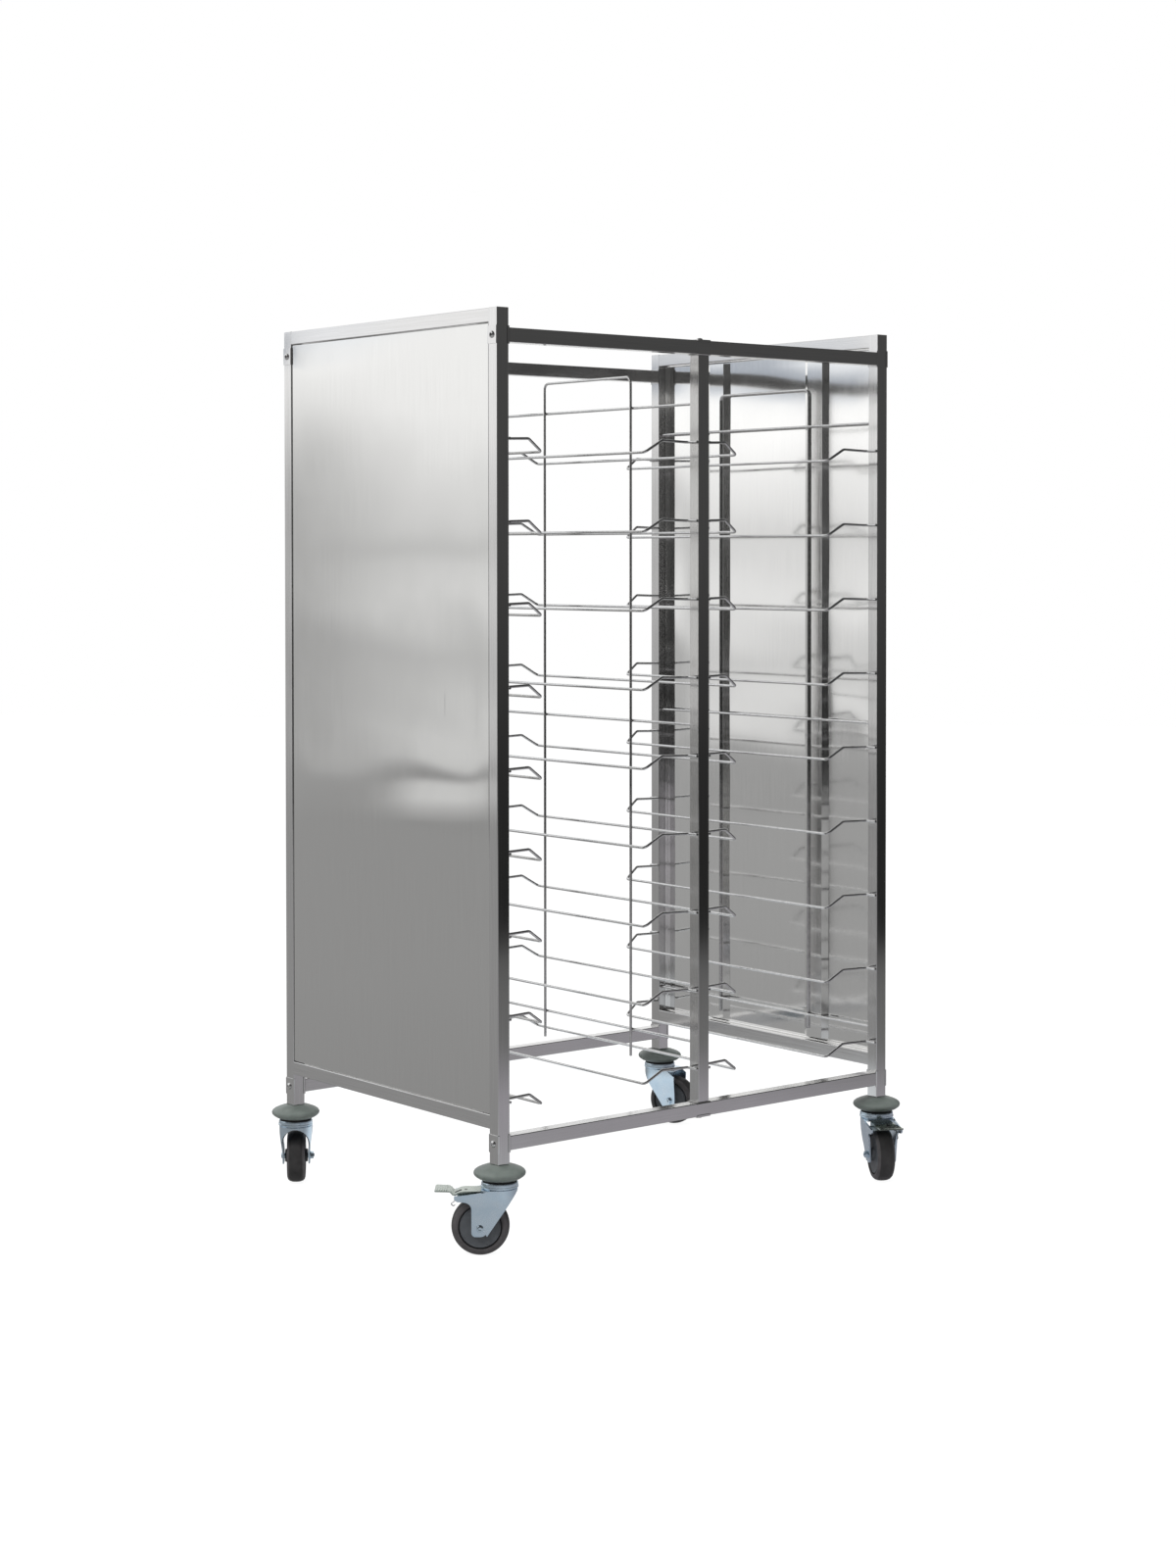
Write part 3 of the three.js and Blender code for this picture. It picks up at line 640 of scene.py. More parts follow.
def panel_shape():
    """The folded pan: flat outside, facing -X, open towards +X."""
    middle = (PANEL_HIGH + PANEL_LOW) / 2
    half_y = BAY_HALF - GAP - PANEL_MARGIN
    half_z = (PANEL_HIGH - PANEL_LOW) / 2 - PANEL_MARGIN
    columns = sheet_line(half_y, 36)
    rows = sheet_line(half_z, 80)
    outside, inside = [], []
    for v, depth_v in rows:
        for u, depth_u in columns:
            depth = max(depth_u, depth_v)
            fade = smoothstep(0, RIPPLE_MARGIN, min(half_y - abs(u), half_z - abs(v)))
            lift = ripple(u, v) * fade if depth == 0 else 0.0
            outside.append((depth + lift, u, v + middle))
            in_u = math.copysign(min(abs(u), half_y - PANEL_SHEET), u)
            in_v = math.copysign(min(abs(v), half_z - PANEL_SHEET), v)
            inside.append((min(depth + PANEL_SHEET + lift, PANEL_FLANGE), in_u, in_v + middle))
    wide, tall = len(columns), len(rows)
    shape = Shape(outside + inside)
    start = len(outside)
    for j in range(tall - 1):
        for i in range(wide - 1):
            a = j * wide + i
            quad = (a, a + 1, a + wide + 1, a + wide)
            shape.faces.append(tuple(reversed(quad)))
            shape.faces.append(tuple(k + start for k in quad))
    rim = list(range(wide)) + [j * wide + wide - 1 for j in range(1, tall)]
    rim += [(tall - 1) * wide + i for i in range(wide - 2, -1, -1)]
    rim += [j * wide for j in range(tall - 2, 0, -1)]
    for a, b in zip(rim, rim[1:] + rim[:1]):
        shape.faces.append((a, b, b + start, a + start))
    return shape.moved(x=-HALF_WIDTH + PANEL_RECESS)


def hat_outline():
    """A stiffener's whole section in (x, y), folded out of one sheet: feet at X = 0, crest at +X."""
    slope = math.atan2(HAT_DEPTH, HAT_HALF_FOOT - HAT_HALF_CREST)

    def line(offset):
        crest_x = HAT_DEPTH - offset
        turn_y = HAT_HALF_CREST - offset * math.tan(slope / 2)
        points = [(0.05, HAT_HALF_FOOT - offset / math.sin(slope))]
        for k in range(5):
            angle = slope * (1 - k / 4)
            points.append((crest_x - HAT_FOLD + HAT_FOLD * math.cos(angle),
                           turn_y - HAT_FOLD * math.tan(slope / 2) + HAT_FOLD * math.sin(angle)))
        return points + [(x, -y) for x, y in reversed(points)]
    return line(0.0) + line(PANEL_SHEET)[::-1]


def side_panel(name):
    inner_face = -HALF_WIDTH + PANEL_RECESS + PANEL_SHEET
    sheet = piece(f"{name}_panel", on_side(name, panel_shape()), PANEL,
                  replaces=(f"{name}_side_panel",))
    sheet.data.materials.append(INSIDE_STEEL_PAINTED_LIGHT)
    outward = 1 if name == "right" else -1
    # Faces looking outward get the panel steel; the rest get the inner steel, with its painted light.
    for polygon in sheet.data.polygons:
        polygon.material_index = 0 if polygon.normal.x * outward > 0.1 else 1
    for end, side in ENDS:
        hat = plate(hat_outline(), PANEL_LOW + HAT_MARGIN, PANEL_HIGH - HAT_MARGIN, "z")
        hat = on_side(name, hat.moved(inner_face, side * HAT_Y))
        piece(f"{name}_panel_{end}_stiffener", hat, INSIDE_STEEL_PAINTED_LIGHT, bevel=0.2)


# ---------------- tray runners


# From the post's face, from the cart's front and from the welds, each with its bend.
RUNNER_HALF = (((WIRE / 2 + 0.15, 1.2, 0.0), 0), ((WIRE / 2 + 0.15, 27.6, 0.0), 5.0),
               ((63.5, 27.6, 2.0), 9.0), ((98.0, 35.5, -20.0), 9.0))
# Half length of each weld bead, and its distance from the cart's front or rear.
RUNNER_WELDS = ((4.2, 20.5), (3.0, 6.0))


def runner(face_x, side, weld_z):
    """A tray runner's wire, the same at the front and the rear."""
    route = [((face_x + side * x, -HALF_DEPTH + y, weld_z + z), r) for (x, y, z), r in RUNNER_HALF]
    route += [((x, -y, z), r) for (x, y, z), r in reversed(route)]
    return wire(route)


def runner_welds(face_x, side, weld_z):
    beads = []
    for _, end in ENDS:
        for length, inset in RUNNER_WELDS:
            place = (face_x + side * 1.0, end * (HALF_DEPTH - inset), weld_z)
            beads.append(blob(place, (1.9, length, 3.1)))
    return joined(beads)


def runners():
    runs = (("left", -SIDE_FACE, 1, 0.0), ("centre_left", -HALF, -1, CENTRE_RUNNER_LIFT),
            ("centre_right", HALF, 1, CENTRE_RUNNER_LIFT), ("right", SIDE_FACE, -1, 0.0))
    for run, face_x, side, lift in runs:
        beads = []
        for level in range(1, LEVELS + 1):
            z = TOP - FIRST_RUNNER_DROP - (level - 1) * LEVEL_PITCH + lift
            shape = runner(face_x, side, z)
            name = f"tray_runner_{run}_{level}"
            piece(f"{name}_wire", shape, WIRE_STEEL, replaces=(name,))
            beads.append(runner_welds(face_x, side, z))
        piece(f"tray_runner_{run}_welds", joined(beads), WELD)


# ---------------- casters
# Drawn about the swivel axis at X = 0, Y = 0, trailing along +X.

TRAIL = 33.0
PLATE = 112.5
RING_LOW = 115.5
RING_HIGH = 126.5
RING_RADIUS = 32.5
FORK_REACH = 30.8
FORK_FOOT = 26.0
FORK_SHEET = 3.0
AXLE_Z = WHEEL_RADIUS
FOOT_RADIUS = 14.5
FOOT_CORNER = 7.0
REAR_EDGE = TRAIL + FOOT_RADIUS
TAIL = 77.0
NOSE_TOP = 111.5
NOSE_SLOPE = 1.46
ON_AXIS = 0.01


def raised(points, height):
    return [(x, height + z) for x, z in points]


def bumper_shape():
    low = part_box("bumper_front_left")[0].z / MM
    profile = [(11, 0), (30, 0), (32.5, 0.5), (37.5, 2.7), (42, 5.8), (44.2, 8.1), (45, 11.0),
               (44.6, 13.2), (43.2, 15.4), (40, 17.8), (35, 20.1), (28, 22.7), (21, 24.7), (18.6, 25.3),
               (11, 25.3)]
    return turned_profile(raised(profile, low), 64)


def swivel_head_shape():
    """The ball race's pressed ring over a gap, and the kingpin plate."""
    low, high, rim = RING_LOW, RING_HIGH, RING_RADIUS
    profile = [(ON_AXIS, low - 1.5), (26, low - 1.5), (28.5, low - 0.4), (28.5, low + 1.2),
               (rim - 1.0, low + 1.3), (rim - 0.1, low + 1.7), (rim, low + 2.6), (rim - 0.1, low + 4.2),
               (rim - 0.9, low + 4.8), (rim - 0.9, high - 1.6), (rim - 1.5, high - 0.4), (30, high),
               (28.5, high - 0.4), (ON_AXIS, high - 0.4)]
    return turned_profile(profile, 56)


def seal_shape():
    profile = [(9, -0.5), (29.2, -0.5), (29.8, 0.6), (29.4, 2.8), (9, 2.8)]
    return turned_profile(raised(profile, RING_HIGH))


def front_edge(x):
    """Height of the fork sheet's lower edge ahead of the axle, along its slanted front."""
    return NOSE_TOP - (x + FORK_REACH) * NOSE_SLOPE


def tail_low(x):
    """Height of the lower edge of a braked fork's tail, behind the rear edge."""
    if x > 72:
        return PLATE - 16 + (x - 72) * 0.8
    if x > 59.5:
        return PLATE - 17 + (x - 59.5) * 0.08
    reach = math.sqrt((x - REAR_EDGE) / 12)
    return PLATE - 31 + 24 * reach * (1 - reach) + 14 * reach * reach


def cheek_low(x, braked):
    if x > REAR_EDGE + 0.01:
        return tail_low(x) if braked else RING_LOW - 10
    if x > TRAIL:
        past = max(0.0, x - (REAR_EDGE - FOOT_CORNER))
        return AXLE_Z - FOOT_RADIUS + FOOT_CORNER - math.sqrt(max(0.0, FOOT_CORNER ** 2 - past ** 2))
    tangent = TRAIL - FOOT_RADIUS * 0.825
    if x < tangent:
        return front_edge(x)
    return AXLE_Z - math.sqrt(max(0.0, FOOT_RADIUS ** 2 - (x - TRAIL) ** 2))


def cheek_high(x, braked):
    if braked:
        return RING_LOW - 0.5 - 2.5 * smoothstep(16, 28, x) - 6.5 * max(0.0, x - 22) / (TAIL - 22)
    if x < 24:
        return RING_LOW - 0.5
    return RING_LOW - 1.5 - 11 * smoothstep(30, REAR_EDGE + 2, x)


def cheek_reach(z):
    return FORK_FOOT + (FORK_REACH - FORK_FOOT) * smoothstep(58, 106, z)


def fork_stations(braked):
    """Plan stations from the left cheek's rear edge round the nose to the right cheek's."""
    rear = [REAR_EDGE, 47.3, 46.9, 46.2, 45.2, 44.0, 42.4, 40.5, 37.0, TRAIL, 30.0, 27.5, 25.0, 23.0,
            21.0, 17.0, 11.0, 5.0, 0.0]
    tail = [TAIL, 74.5, 72.0, 66.0, 59.5, 56.0, 53.0, 50.8, 49.2, 48.2, REAR_EDGE + 0.05]
    straight = tail + rear if braked else rear
    nose = [math.pi / 2 + math.pi * k / 24 for k in range(1, 24)]
    left = [(x, 1.0, None) for x in straight]
    front = [(math.cos(a), math.sin(a), a) for a in nose]
    right = [(x, -1.0, None) for x in reversed(straight)]
    return left + front + right


def fork_sheet_shape(braked):
    """The pressed fork: two cheeks and the curved web at the nose, in one bent sheet."""
    levels = 14
    stations = fork_stations(braked)
    outer, inner = [], []
    for x, side, angle in stations:
        plan_x = FORK_REACH * x if angle is not None else x
        low, high = cheek_low(plan_x, braked), cheek_high(plan_x, braked)
        for line, inset in ((outer, 0.0), (inner, FORK_SHEET)):
            column = []
            for k in range(levels + 1):
                z = low + (high - low) * k / levels
                reach = cheek_reach(z)
                if angle is None:
                    column.append((plan_x, side * (reach - inset), z))
                else:
                    ring = FORK_REACH - inset
                    squeeze = reach / FORK_REACH
                    column.append((ring * math.cos(angle), ring * math.sin(angle) * squeeze, z))
            line.append(column)
    tall = levels + 1
    start = len(stations) * tall
    shape = Shape([p for column in outer + inner for p in column])
    for i in range(len(stations) - 1):
        for k in range(levels):
            a = i * tall + k
            quad = (a, a + tall, a + tall + 1, a + 1)
            shape.faces.append(quad)
            shape.faces.append(tuple(reversed([q + start for q in quad])))
        for k in (0, levels):
            a = i * tall + k
            shape.faces.append((a, a + tall, a + tall + start, a + start))
    for i in (0, len(stations) - 1):
        for k in range(levels):
            a = i * tall + k
            shape.faces.append((a, a + 1, a + 1 + start, a + start))
    return shape


def fork_roof_shape(braked):
    """The flat top of the fork under the ball race."""
    outline = []
    reach = FORK_REACH - 0.4
    back = 31.0 if braked else REAR_EDGE - 3
    for k in range(25):
        angle = math.pi / 2 + math.pi * k / 24
        outline.append((reach * math.cos(angle), reach * math.sin(angle)))
    outline += [(back * 0.7, -reach), (back, -reach + 6), (back, reach - 6), (back * 0.7, reach)]
    return plate(outline, RING_LOW - 3.4, RING_LOW - 0.4, "z")


def axle_shape():
    """The axle bolt: a round head on one side, a washer and a nut on the other."""
    head = dome_screw(6.2, 3.2).turned(-90, "X").moved(TRAIL, FORK_FOOT, AXLE_Z)
    washer = turned_profile([(ON_AXIS, 0), (7.4, 0), (7.6, 0.4), (7.4, 1.2), (ON_AXIS, 1.2)], 32)
    turns = [math.pi / 3 * k + 0.3 for k in range(6)]
    nut = plate([(6.9 * math.cos(turn), 6.9 * math.sin(turn)) for turn in turns], 1.2, 6.4, "z")
    stub = turned_profile([(ON_AXIS, 5), (3.4, 5), (3.4, 7.6), (2.9, 8.2), (ON_AXIS, 8.2)], 24)
    far = joined([washer, nut, stub]).turned(90, "X").moved(TRAIL, -FORK_FOOT, AXLE_Z)
    rod = [(ON_AXIS, -FORK_FOOT), (5.5, -FORK_FOOT), (5.5, FORK_FOOT), (ON_AXIS, FORK_FOOT)]
    return joined([head, far, turned_profile(rod, 24).turned(90, "X").moved(TRAIL, 0, AXLE_Z)])


def wheel_shapes():
    """The tyre, the core and a near-black ring between them, painted shade at the bottom of the groove,
    about the axle along Y through the origin.
    """
    tread = [(CORE_RADIUS + 0.9, -14.8), (CORE_RADIUS + 1.5, -16.2), (41.5, -17.0), (45.2, -15.6),
             (47.8, -12.6), (49.4, -8.2), (WHEEL_RADIUS, -3.0)]
    disc = [(7, -21.5), (11.5, -21.5), (12.2, -20.8), (13.0, -16.6), (15, -15.6), (31.5, -14.4),
            (33, -14.8), (CORE_RADIUS - 1.6, -15.6), (CORE_RADIUS - 1.1, -14.8)]
    groove_shade = [(CORE_RADIUS - 1.4, -13.8), (CORE_RADIUS + 1.2, -14.0)]
    sides = [profile + [(r, -w) for r, w in reversed(profile)] for profile in (tread, disc, groove_shade)]
    return [turned_profile(profile, 72).turned(90, "X") for profile in sides]


LEVER_HALF = 20.6
LEVER_HALF_FLANGE = 0.9
LEVER_FLANGE_Y = LEVER_HALF - LEVER_HALF_FLANGE


def pedal_shape():
    """The brake lever: a channel over the fork's tail, with its flanges."""
    sheet = 2.2
    channel = [(31.5, 0), (60, 0), (66, -0.8), (72, -3.2), (TAIL - 0.5, -5.4), (TAIL + 2.5, -4.6),
               (82.5, -0.6), (86, 0.9)]
    under = [(86, 0.9 - sheet), (83.5, -2.9), (TAIL + 3, -7.0), (TAIL - 1.5, -7.8), (71, -5.4),
             (65, -3.0), (60, -sheet), (31.5, -sheet)]
    lever = plate(raised(channel + under, PLATE), -LEVER_HALF, LEVER_HALF)
    flange = [(31.5, -1.2), (31.5, -11), (34, -13.6), (49, -13.6), (64, -12.4), (72, -8.5), (72, -4.5),
              (60, -1.2)]
    sides = [plate(raised(flange, PLATE), y - LEVER_HALF_FLANGE, y + LEVER_HALF_FLANGE)
             for y in (-LEVER_FLANGE_Y, LEVER_FLANGE_Y)]
    return joined([lever] + sides)


def pad_shape():
    """The ribbed foot pad behind the lever."""
    top = PLATE + 1.2
    outline = [(85.4, -0.2), (97, 0.4), (108.4, 1.0), (110.6, 0.2), (111, -1.0), (109.4, -2.0),
               (97, -2.2), (85.4, -2.5)]
    ribs = [plate(raised([(x, 0.2), (x + 0.5, 1.1), (x + 1.5, 1.1), (x + 2.0, 0.2)], top), -20.5, 20.5)
            for x in (89.0, 93.0, 97.0, 101.0, 105.0)]
    return joined([plate(raised(outline, top), -22.8, 22.8)] + ribs)


def pedal_pin_shape():
    end = FORK_REACH - 0.2
    profile = [(ON_AXIS, -end), (3.2, -end), (3.6, -end + 0.6), (2.4, -end + 1.2), (2.4, end - 1.2),
               (3.6, end - 0.6), (3.2, end), (ON_AXIS, end)]
    return turned_profile(profile, 24).turned(90, "X").moved(42, 0, PLATE - 8)


def spring_shape():
    """The bent end of the brake spring, below the lever's tail."""
    route = [((68, -9.5), 0), ((76, -16), 2.5), ((83, -21.5), 1.5), ((78.5, -25), 1.5), ((76, -23), 0)]
    return wire([((x, LEVER_FLANGE_Y, PLATE + z), bend) for (x, z), bend in route], 1.8, 10)


def painted_hole_shade_shape():
    """Painted shade for the round hole and slot in the lever's top: dark plugs, not openings."""
    hole = turned_profile([(ON_AXIS, -1), (2.7, -1), (2.7, 0.12), (ON_AXIS, 0.12)], 24)
    steps = 8
    half_length = 2.6
    half_width = 4.2
    outline = []
    for side in (1, -1):
        for k in range(steps + 1):
            angle = math.pi * k / steps - side * math.pi / 2
            outline.append((side * half_length + half_width * math.cos(angle),
                            half_width * math.sin(angle)))
    slot = plate(outline, -1.0, 0.2, "z").turned(23.7, "Y").moved(71.0, 5.0, PLATE - 2.9)
    return joined([hole.moved(57.5, 5.0, PLATE), slot])


def caster(corner, joints):
    swivel = Vector(joints[f"swivel_{corner}"]["pos_m"])
    axle = Vector(joints[f"wheel_spin_{corner}"]["pos_m"])
    heading = math.atan2(axle.y - swivel.y, axle.x - swivel.x)
    at = (swivel - ORIGIN) / MM
    place = Matrix.Translation((at.x, at.y, 0)) @ Matrix.Rotation(heading, 4, "Z")
    braked = f"brake_{corner}" in joints
    fork, wheel = f"caster_{corner}", f"wheel_{corner}"

    piece(f"{corner}_bumper", bumper_shape(), BUMPER, place=place,
          replaces=(f"bumper_{corner}",))
    piece(f"{corner}_swivel_head", swivel_head_shape(), ZINC, fork, place,
          replaces=(f"caster_fork_{corner}",))
    piece(f"{corner}_seal", seal_shape(), SEAL_AND_SHADE, fork, place)
    piece(f"{corner}_fork_sheet", fork_sheet_shape(braked), ZINC, fork, place, bevel=0.5)
    piece(f"{corner}_fork_roof", fork_roof_shape(braked), ZINC, fork, place, bevel=0.4)
    piece(f"{corner}_axle", axle_shape(), ZINC, fork, place)
    hub = place @ Matrix.Translation((TRAIL, 0, AXLE_Z))
    tyre, core, groove_shade = wheel_shapes()
    made = piece(f"{corner}_tyre", tyre, TREAD, wheel, hub,
                 replaces=(f"caster_wheel_{corner}",))
    made.data.materials.append(FLANK)
    along = hub.to_3x3() @ Vector((0, 1, 0))
    for polygon in made.data.polygons:
        polygon.material_index = 1 if abs(polygon.normal.dot(along)) > 0.5 else 0
    piece(f"{corner}_wheel_core", core, CORE, wheel, hub)
    # The near-black ring at the bottom of the groove between tyre and core is painted shade.
    piece(f"{corner}_wheel_groove_shade", groove_shade, SEAL_AND_SHADE, wheel, hub)
    if not braked:
        return
    # The dark plugs in the lever's top are painted shade for its hole and slot.
    for part, shape, material, bevel in (("lever", pedal_shape(), LEVER_ZINC_PAINTED_REFLECTION, 0.4),
                                         ("lever_hole_shade", painted_hole_shade_shape(), SEAL_AND_SHADE, 0.0),
                                         ("pad", pad_shape(), LEVER_ZINC_PAINTED_REFLECTION, 0.4),
                                         ("pin", pedal_pin_shape(), ZINC, 0.0),
                                         ("spring", spring_shape(), WIRE_STEEL, 0.0)):
        replaced = (f"brake_pedal_{corner}",) if part == "lever" else ()
        piece(f"{corner}_brake_{part}", shape, material, f"pedal_{corner}", place, bevel,
              replaced)


# ---------------- the cart

for name in ("left", "right"):
    side_frame(name)
    side_panel(name)
centre_frame()
for end, side in ENDS:
    cross_rail(f"{end}_top_rail", side * POST_Y, TOP_CROSS_Z, 1)
    cross_rail(f"{end}_bottom_rail", side * POST_Y, BOTTOM_CROSS_Z, -1)
runners()
named_joints = {joint["name"]: joint for joint in frame["joints"]}
for corner in ("front_left", "front_right", "rear_left", "rear_right"):
    caster(corner, named_joints)


# ---------------- floor, light and camera
# Bearings in degrees, and heights and distances in metres with the brightness mirrored there.

DARK_BEARING = -139
BACK_BEARING = 24
FLOOR_GREYS = ((-9.0, 0.37), (-3.0, 0.36), (-0.3, 0.33), (1.2, (0.42, 0.405, 0.44)), (1.9, 0.2),
               (3.2, 0.16), (3.7, 0.03), (9.0, 0.03))
# Pools of painted light on the floor, seen only in the steel: each a centre in metres, the distances in
# metres between which it fades out, and a colour.
FLOOR_LIGHT_POOLS = (((1.1, 0.3, 0.0), (0.15, 0.8), (0.6, 0.625, 0.65)),
                 ((-0.27, -0.24, 0.0), (0.2, 0.5), (0.82, 0.86, 0.89)))
WALL_STRENGTH = 1.25
BACK_WALL = ((0.0, 0.30), (0.25, 0.33), (0.85, 0.36), (1.05, 0.42), (1.46, 0.44), (1.67, 0.55),
             (1.9, 0.82), (2.15, 0.98), (2.3, (0.88, 0.91, 0.96)), (4.0, (0.88, 0.91, 0.96)))
WHITE_WALL = ((0.0, 0.28), (0.27, 0.27), (0.32, 0.62), (0.5, 0.64), (0.6, 0.57), (0.74, 0.52),
              (0.85, 0.6), (0.98, 0.72), (1.15, 0.68), (1.24, 0.56), (1.34, 0.68), (1.6, 0.8),
              (1.8, 0.93), (4.0, 0.95))
WALL_TOP = ((1.62, (0.8, 0.82, 0.85)), (1.655, (0.34, 0.37, 0.42)), (1.69, (0.32, 0.35, 0.4)),
            (1.715, (0.8, 0.82, 0.85)), (2.5, (0.86, 0.87, 0.88)))
WALL_STRIP = ((0.595, 0.3), (0.625, 0.46), (0.65, 0.62), (0.68, 0.6), (0.695, 0.35))
DARK_ROOM = ((0.0, 0.02), (0.5, 0.03), (1.2, 0.07), (2.2, 0.085), (5.0, 0.085))
CEILING_HEIGHT = 4.0
CEILING_REACH = 9.0
CEILING = ((-CEILING_REACH, 0.05), (0.6, 0.05), (1.6, 0.85), (CEILING_REACH, 0.85))
FLOOR_REACH = 14.0
FLOOR_PAINT = 0.62
FLOOR_VEIL = 0.16
FLOOR_GLOW = 0.93
SOFT_LIGHT = (0.93, 0.96, 1.0)
SOFT_STRENGTH = 0.55
# Name, place, aim and size in metres, and power.
LAMPS = (("key", (-3.2, -1.2, 3.4), (0, 0, 0.8), (2.4, 2.4), 130.0),
         ("top", (0.3, 0.6, 4.2), (0, 0, 0.6), (3.0, 3.0), 90.0),
         ("fill", (1.6, -4.2, 2.2), (0, 0, 0.6), (2.4, 2.0), 30.0))
# Millimetres from the frame's centre, degrees, millimetres and a share of the picture.
CAMERA_PLACE = (-3180.9, -3932.3, 1193.5)
CAMERA_TURN = (90 - 1.359, 0.04, -38.975)
CAMERA_LENS = 60.93
CAMERA_SHIFT = -0.1044


def make_world():
    """White for the rays that show the studio itself: camera, mirror and transmitted rays. A
    softer light for the rest."""
    world = bpy.data.worlds.new("studio")
    bpy.context.scene.world = world
    world.use_nodes = True
    tree = world.node_tree
    tree.nodes.clear()
    path = node(tree, "ShaderNodeLightPath")
    shown = path.outputs["Is Camera Ray"]
    for kind in ("Is Glossy Ray", "Is Transmission Ray"):
        both = node(tree, "ShaderNodeMath", {0: shown, 1: path.outputs[kind]}, operation="MAXIMUM")
        shown = both.outputs[0]
    white = node(tree, "ShaderNodeBackground", {"Color": (1, 1, 1, 1), "Strength": 1.0})
    soft = node(tree, "ShaderNodeBackground", {"Color": (*SOFT_LIGHT, 1), "Strength": SOFT_STRENGTH})
    mix = node(tree, "ShaderNodeMixShader", {0: shown, 1: soft.outputs[0], 2: white.outputs[0]})
    node(tree, "ShaderNodeOutputWorld", {"Surface": mix.outputs[0]})


def square(reach):
    return [(x * reach, y * reach, 0) for x, y in ((-1, -1), (1, -1), (1, 1), (-1, 1))]


def studio_sheet(name, corners, place, bearing):
    """A flat part of the studio, turned to face a bearing, and its material's empty nodes."""
    mesh = bpy.data.meshes.new(name)
    mesh.from_pydata(corners, [], [(0, 1, 2, 3)])
    made = linked(name, mesh)
    made.location = ORIGIN + place
    made.rotation_euler = (0, 0, math.radians(bearing))
    material = bpy.data.materials.new(name)
    material.use_nodes = True
    tree = material.node_tree
    tree.nodes.clear()
    mesh.materials.append(material)
    return made, tree


def make_floor():
    """A pale floor that reads as white and keeps the cart's shadow. In the steel it is grey,
    darker away to the front right, with pools of painted light that the casters' zinc shows as painted
    highlights."""
    floor, tree = studio_sheet("floor", square(FLOOR_REACH), Vector(), DARK_BEARING)
    path = node(tree, "ShaderNodeLightPath")
    base, veil = [node(tree, "ShaderNodeBsdfDiffuse", {"Color": (grey, grey, grey, 1)})
                  for grey in (FLOOR_PAINT, FLOOR_VEIL)]
    glow = node(tree, "ShaderNodeEmission", {"Color": (1, 1, 1, 1), "Strength": FLOOR_GLOW})
    seen = node(tree, "ShaderNodeAddShader", {0: veil.outputs[0], 1: glow.outputs[0]})
    where = node(tree, "ShaderNodeTexCoord").outputs["Object"]
    mirrored = ramp(tree, "Y", FLOOR_GREYS)
    for centre, fade, light in FLOOR_LIGHT_POOLS:
        away = node(tree, "ShaderNodeVectorMath", {0: where, 1: centre}, operation="DISTANCE")
        near = mapped(tree, away.outputs["Value"], *fade, 1.0, 0.0)
        inputs = {"Factor": near, "A": mirrored, "B": (*light, 1)}
        mirrored = node(tree, "ShaderNodeMix", inputs, data_type="RGBA").outputs["Result"]
    grey = node(tree, "ShaderNodeEmission", {"Color": mirrored})
    plain = node(tree, "ShaderNodeMixShader",
                 {0: path.outputs["Is Glossy Ray"], 1: base.outputs[0], 2: grey.outputs[0]})
    mix = node(tree, "ShaderNodeMixShader",
               {0: path.outputs["Is Camera Ray"], 1: plain.outputs[0], 2: seen.outputs[0]})
    node(tree, "ShaderNodeOutputMaterial", {"Surface": mix.outputs[0]})


def ramp(tree, axis, stops):
    """A colour that changes along an object axis. stops are (metres, brightness or colour)."""
    where = node(tree, "ShaderNodeTexCoord").outputs["Object"]
    along = node(tree, "ShaderNodeSeparateXYZ", {"Vector": where}).outputs[axis]
    low, high = stops[0][0], stops[-1][0]
    colors = node(tree, "ShaderNodeValToRGB", {"Fac": mapped(tree, along, low, high, 0.0, 1.0)})
    elements = colors.color_ramp.elements
    while len(elements) < len(stops):
        elements.new(0.5)
    for element, (place, _) in zip(elements, stops):
        element.position = (place - low) / (high - low)
    for element, (_, value) in zip(elements, stops):
        element.color = (*value, 1) if isinstance(value, tuple) else (value, value, value, 1)
    return colors.outputs["Color"]


def mirrored_sheet(name, corners, place, bearing, axis, stops, strength=1.0):
    """A studio sheet that shows only in the metal, with its brightness changing along an axis."""
    made, tree = studio_sheet(name, corners, place, bearing)
    for ray in ("camera", "diffuse", "shadow", "transmission"):
        setattr(made, f"visible_{ray}", False)
    glow = node(tree, "ShaderNodeEmission", {"Color": ramp(tree, axis, stops), "Strength": strength})
    node(tree, "ShaderNodeOutputMaterial", {"Surface": glow.outputs[0]})


def board(name, bearing, distance, low, high, left, right, stops, strength=1.0):
    """An upright studio board. bearing is its direction from the cart in degrees from +Y towards
    -X; left and right are its reach as seen from the cart."""
    corners = [(-left, 0, low), (right, 0, low), (right, 0, high), (-left, 0, high)]
    turn = math.radians(bearing)
    place = Vector((-math.sin(turn), math.cos(turn), 0)) * distance
    mirrored_sheet(name, corners, place, bearing, "Z", stops, strength)


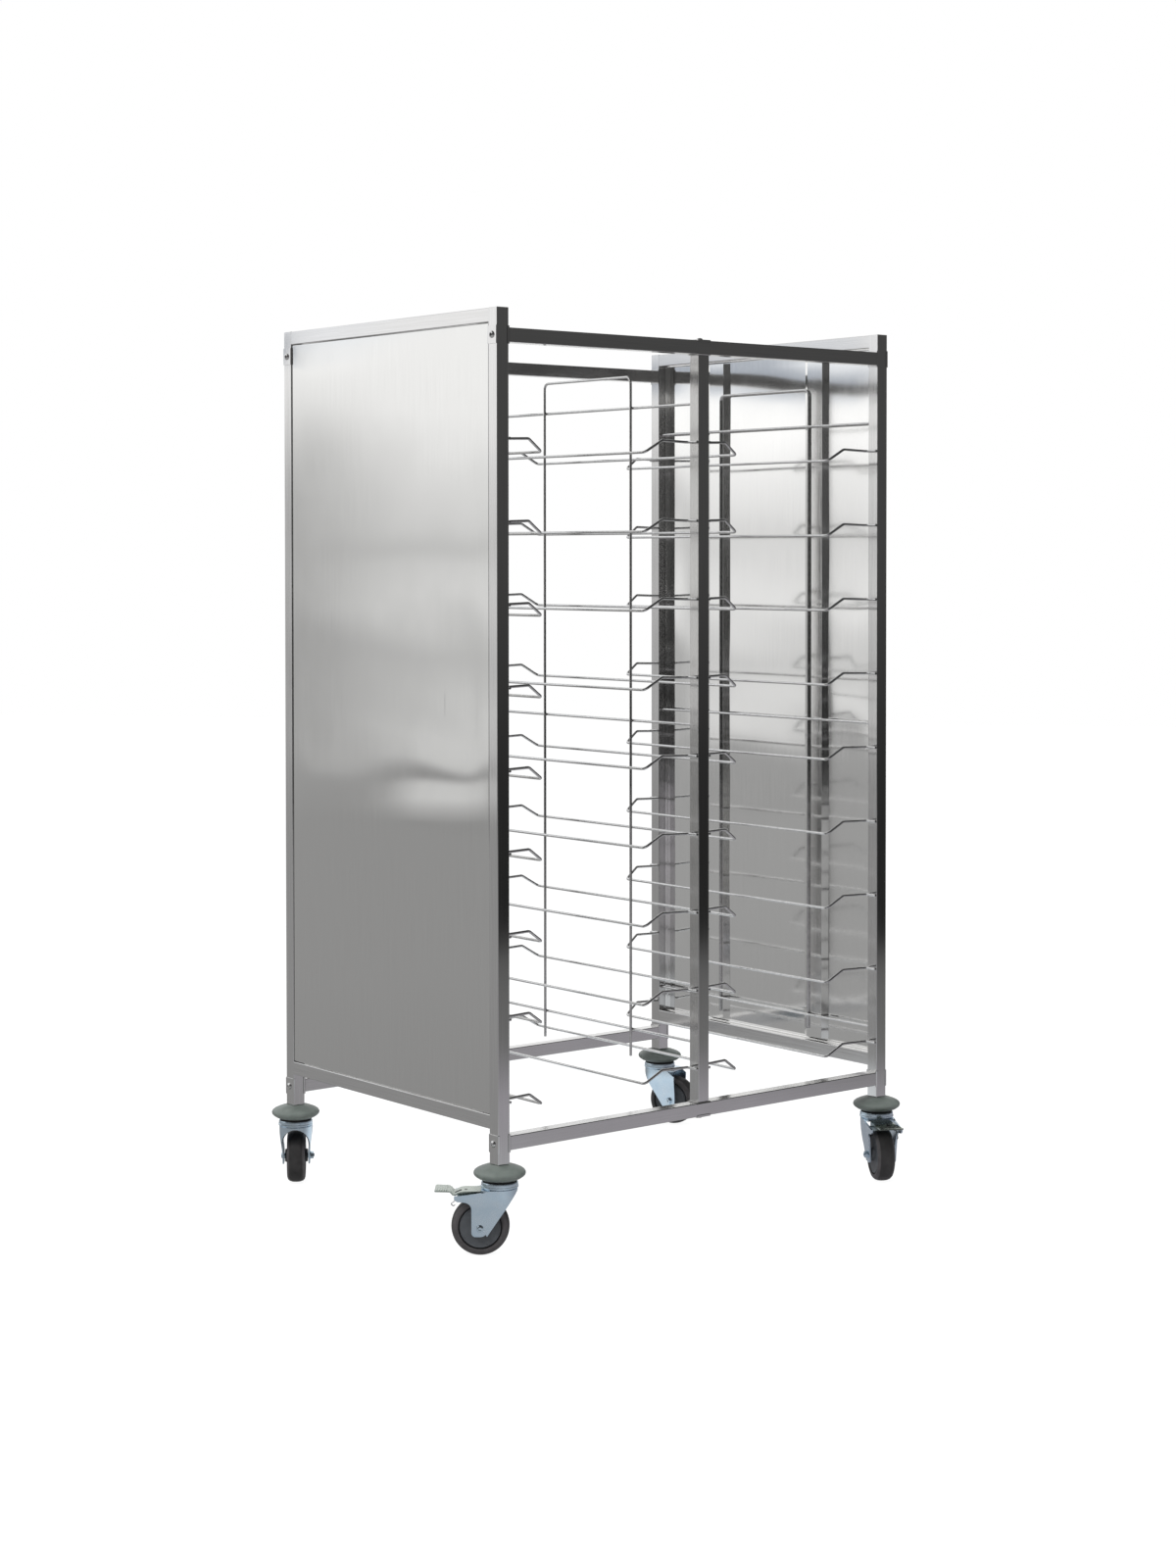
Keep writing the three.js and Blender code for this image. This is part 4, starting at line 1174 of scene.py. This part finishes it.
def make_boards():
    """What the steel mirrors: a wall that fades to grey behind, a white wall behind on the left
    with two near boards before it, a dark room on the other sides, and a ceiling that is bright
    towards the walls."""
    board("back_wall", BACK_BEARING, 7.4, 0, 4.0, 1.9, 8.0, BACK_WALL, WALL_STRENGTH)
    board("white_wall", 50, 7.0, 0, 4.0, 1.9, 1.62, WHITE_WALL, WALL_STRENGTH)
    board("wall_top", 35, 1.5, 1.62, 2.5, 0.16, 0.6, WALL_TOP, WALL_STRENGTH)
    board("wall_strip", 35, 1.5, 0.595, 0.695, 0.66, -0.4, WALL_STRIP, WALL_STRENGTH)
    board("dark_room", DARK_BEARING, 4.0, 0, 5.0, 4.5, 4.5, DARK_ROOM)
    board("dark_left", 100, 7.2, 0, 5.0, 5.0, 4.7, DARK_ROOM)
    board("dark_front", 155, 7.6, 0, 5.0, 7.0, 7.0, DARK_ROOM)
    board("dark_right", -75, 6.5, 0, 5.0, 1.7, 2.6, DARK_ROOM)
    above = Vector((0, 0, CEILING_HEIGHT))
    mirrored_sheet("ceiling", square(CEILING_REACH), above, BACK_BEARING, "Y", CEILING)


def make_lamps():
    """Soft lamps that the steel doesn't mirror."""
    for name, place, aim, size, power in LAMPS:
        data = bpy.data.lights.new(name, "AREA")
        data.shape = "RECTANGLE"
        data.size, data.size_y = size
        data.energy = power
        made = linked(name, data)
        made.location = place
        made.rotation_euler = (Vector(aim) - Vector(place)).to_track_quat("-Z", "Y").to_euler()
        made.visible_glossy = False


def make_camera():
    """The photograph's view, solved from its edges."""
    data = bpy.data.cameras.new("camera")
    data.sensor_fit = "AUTO"
    data.sensor_width = 36.0
    data.lens = CAMERA_LENS
    data.shift_y = CAMERA_SHIFT
    data.clip_start = 0.1
    data.clip_end = 100.0
    camera = linked("camera", data)
    camera.location = ORIGIN + Vector(CAMERA_PLACE) * MM
    camera.rotation_euler = [math.radians(angle) for angle in CAMERA_TURN]
    bpy.context.scene.camera = camera


make_world()
make_floor()
make_boards()
make_lamps()
make_camera()
bpy.context.scene.view_settings.view_transform = "Standard"
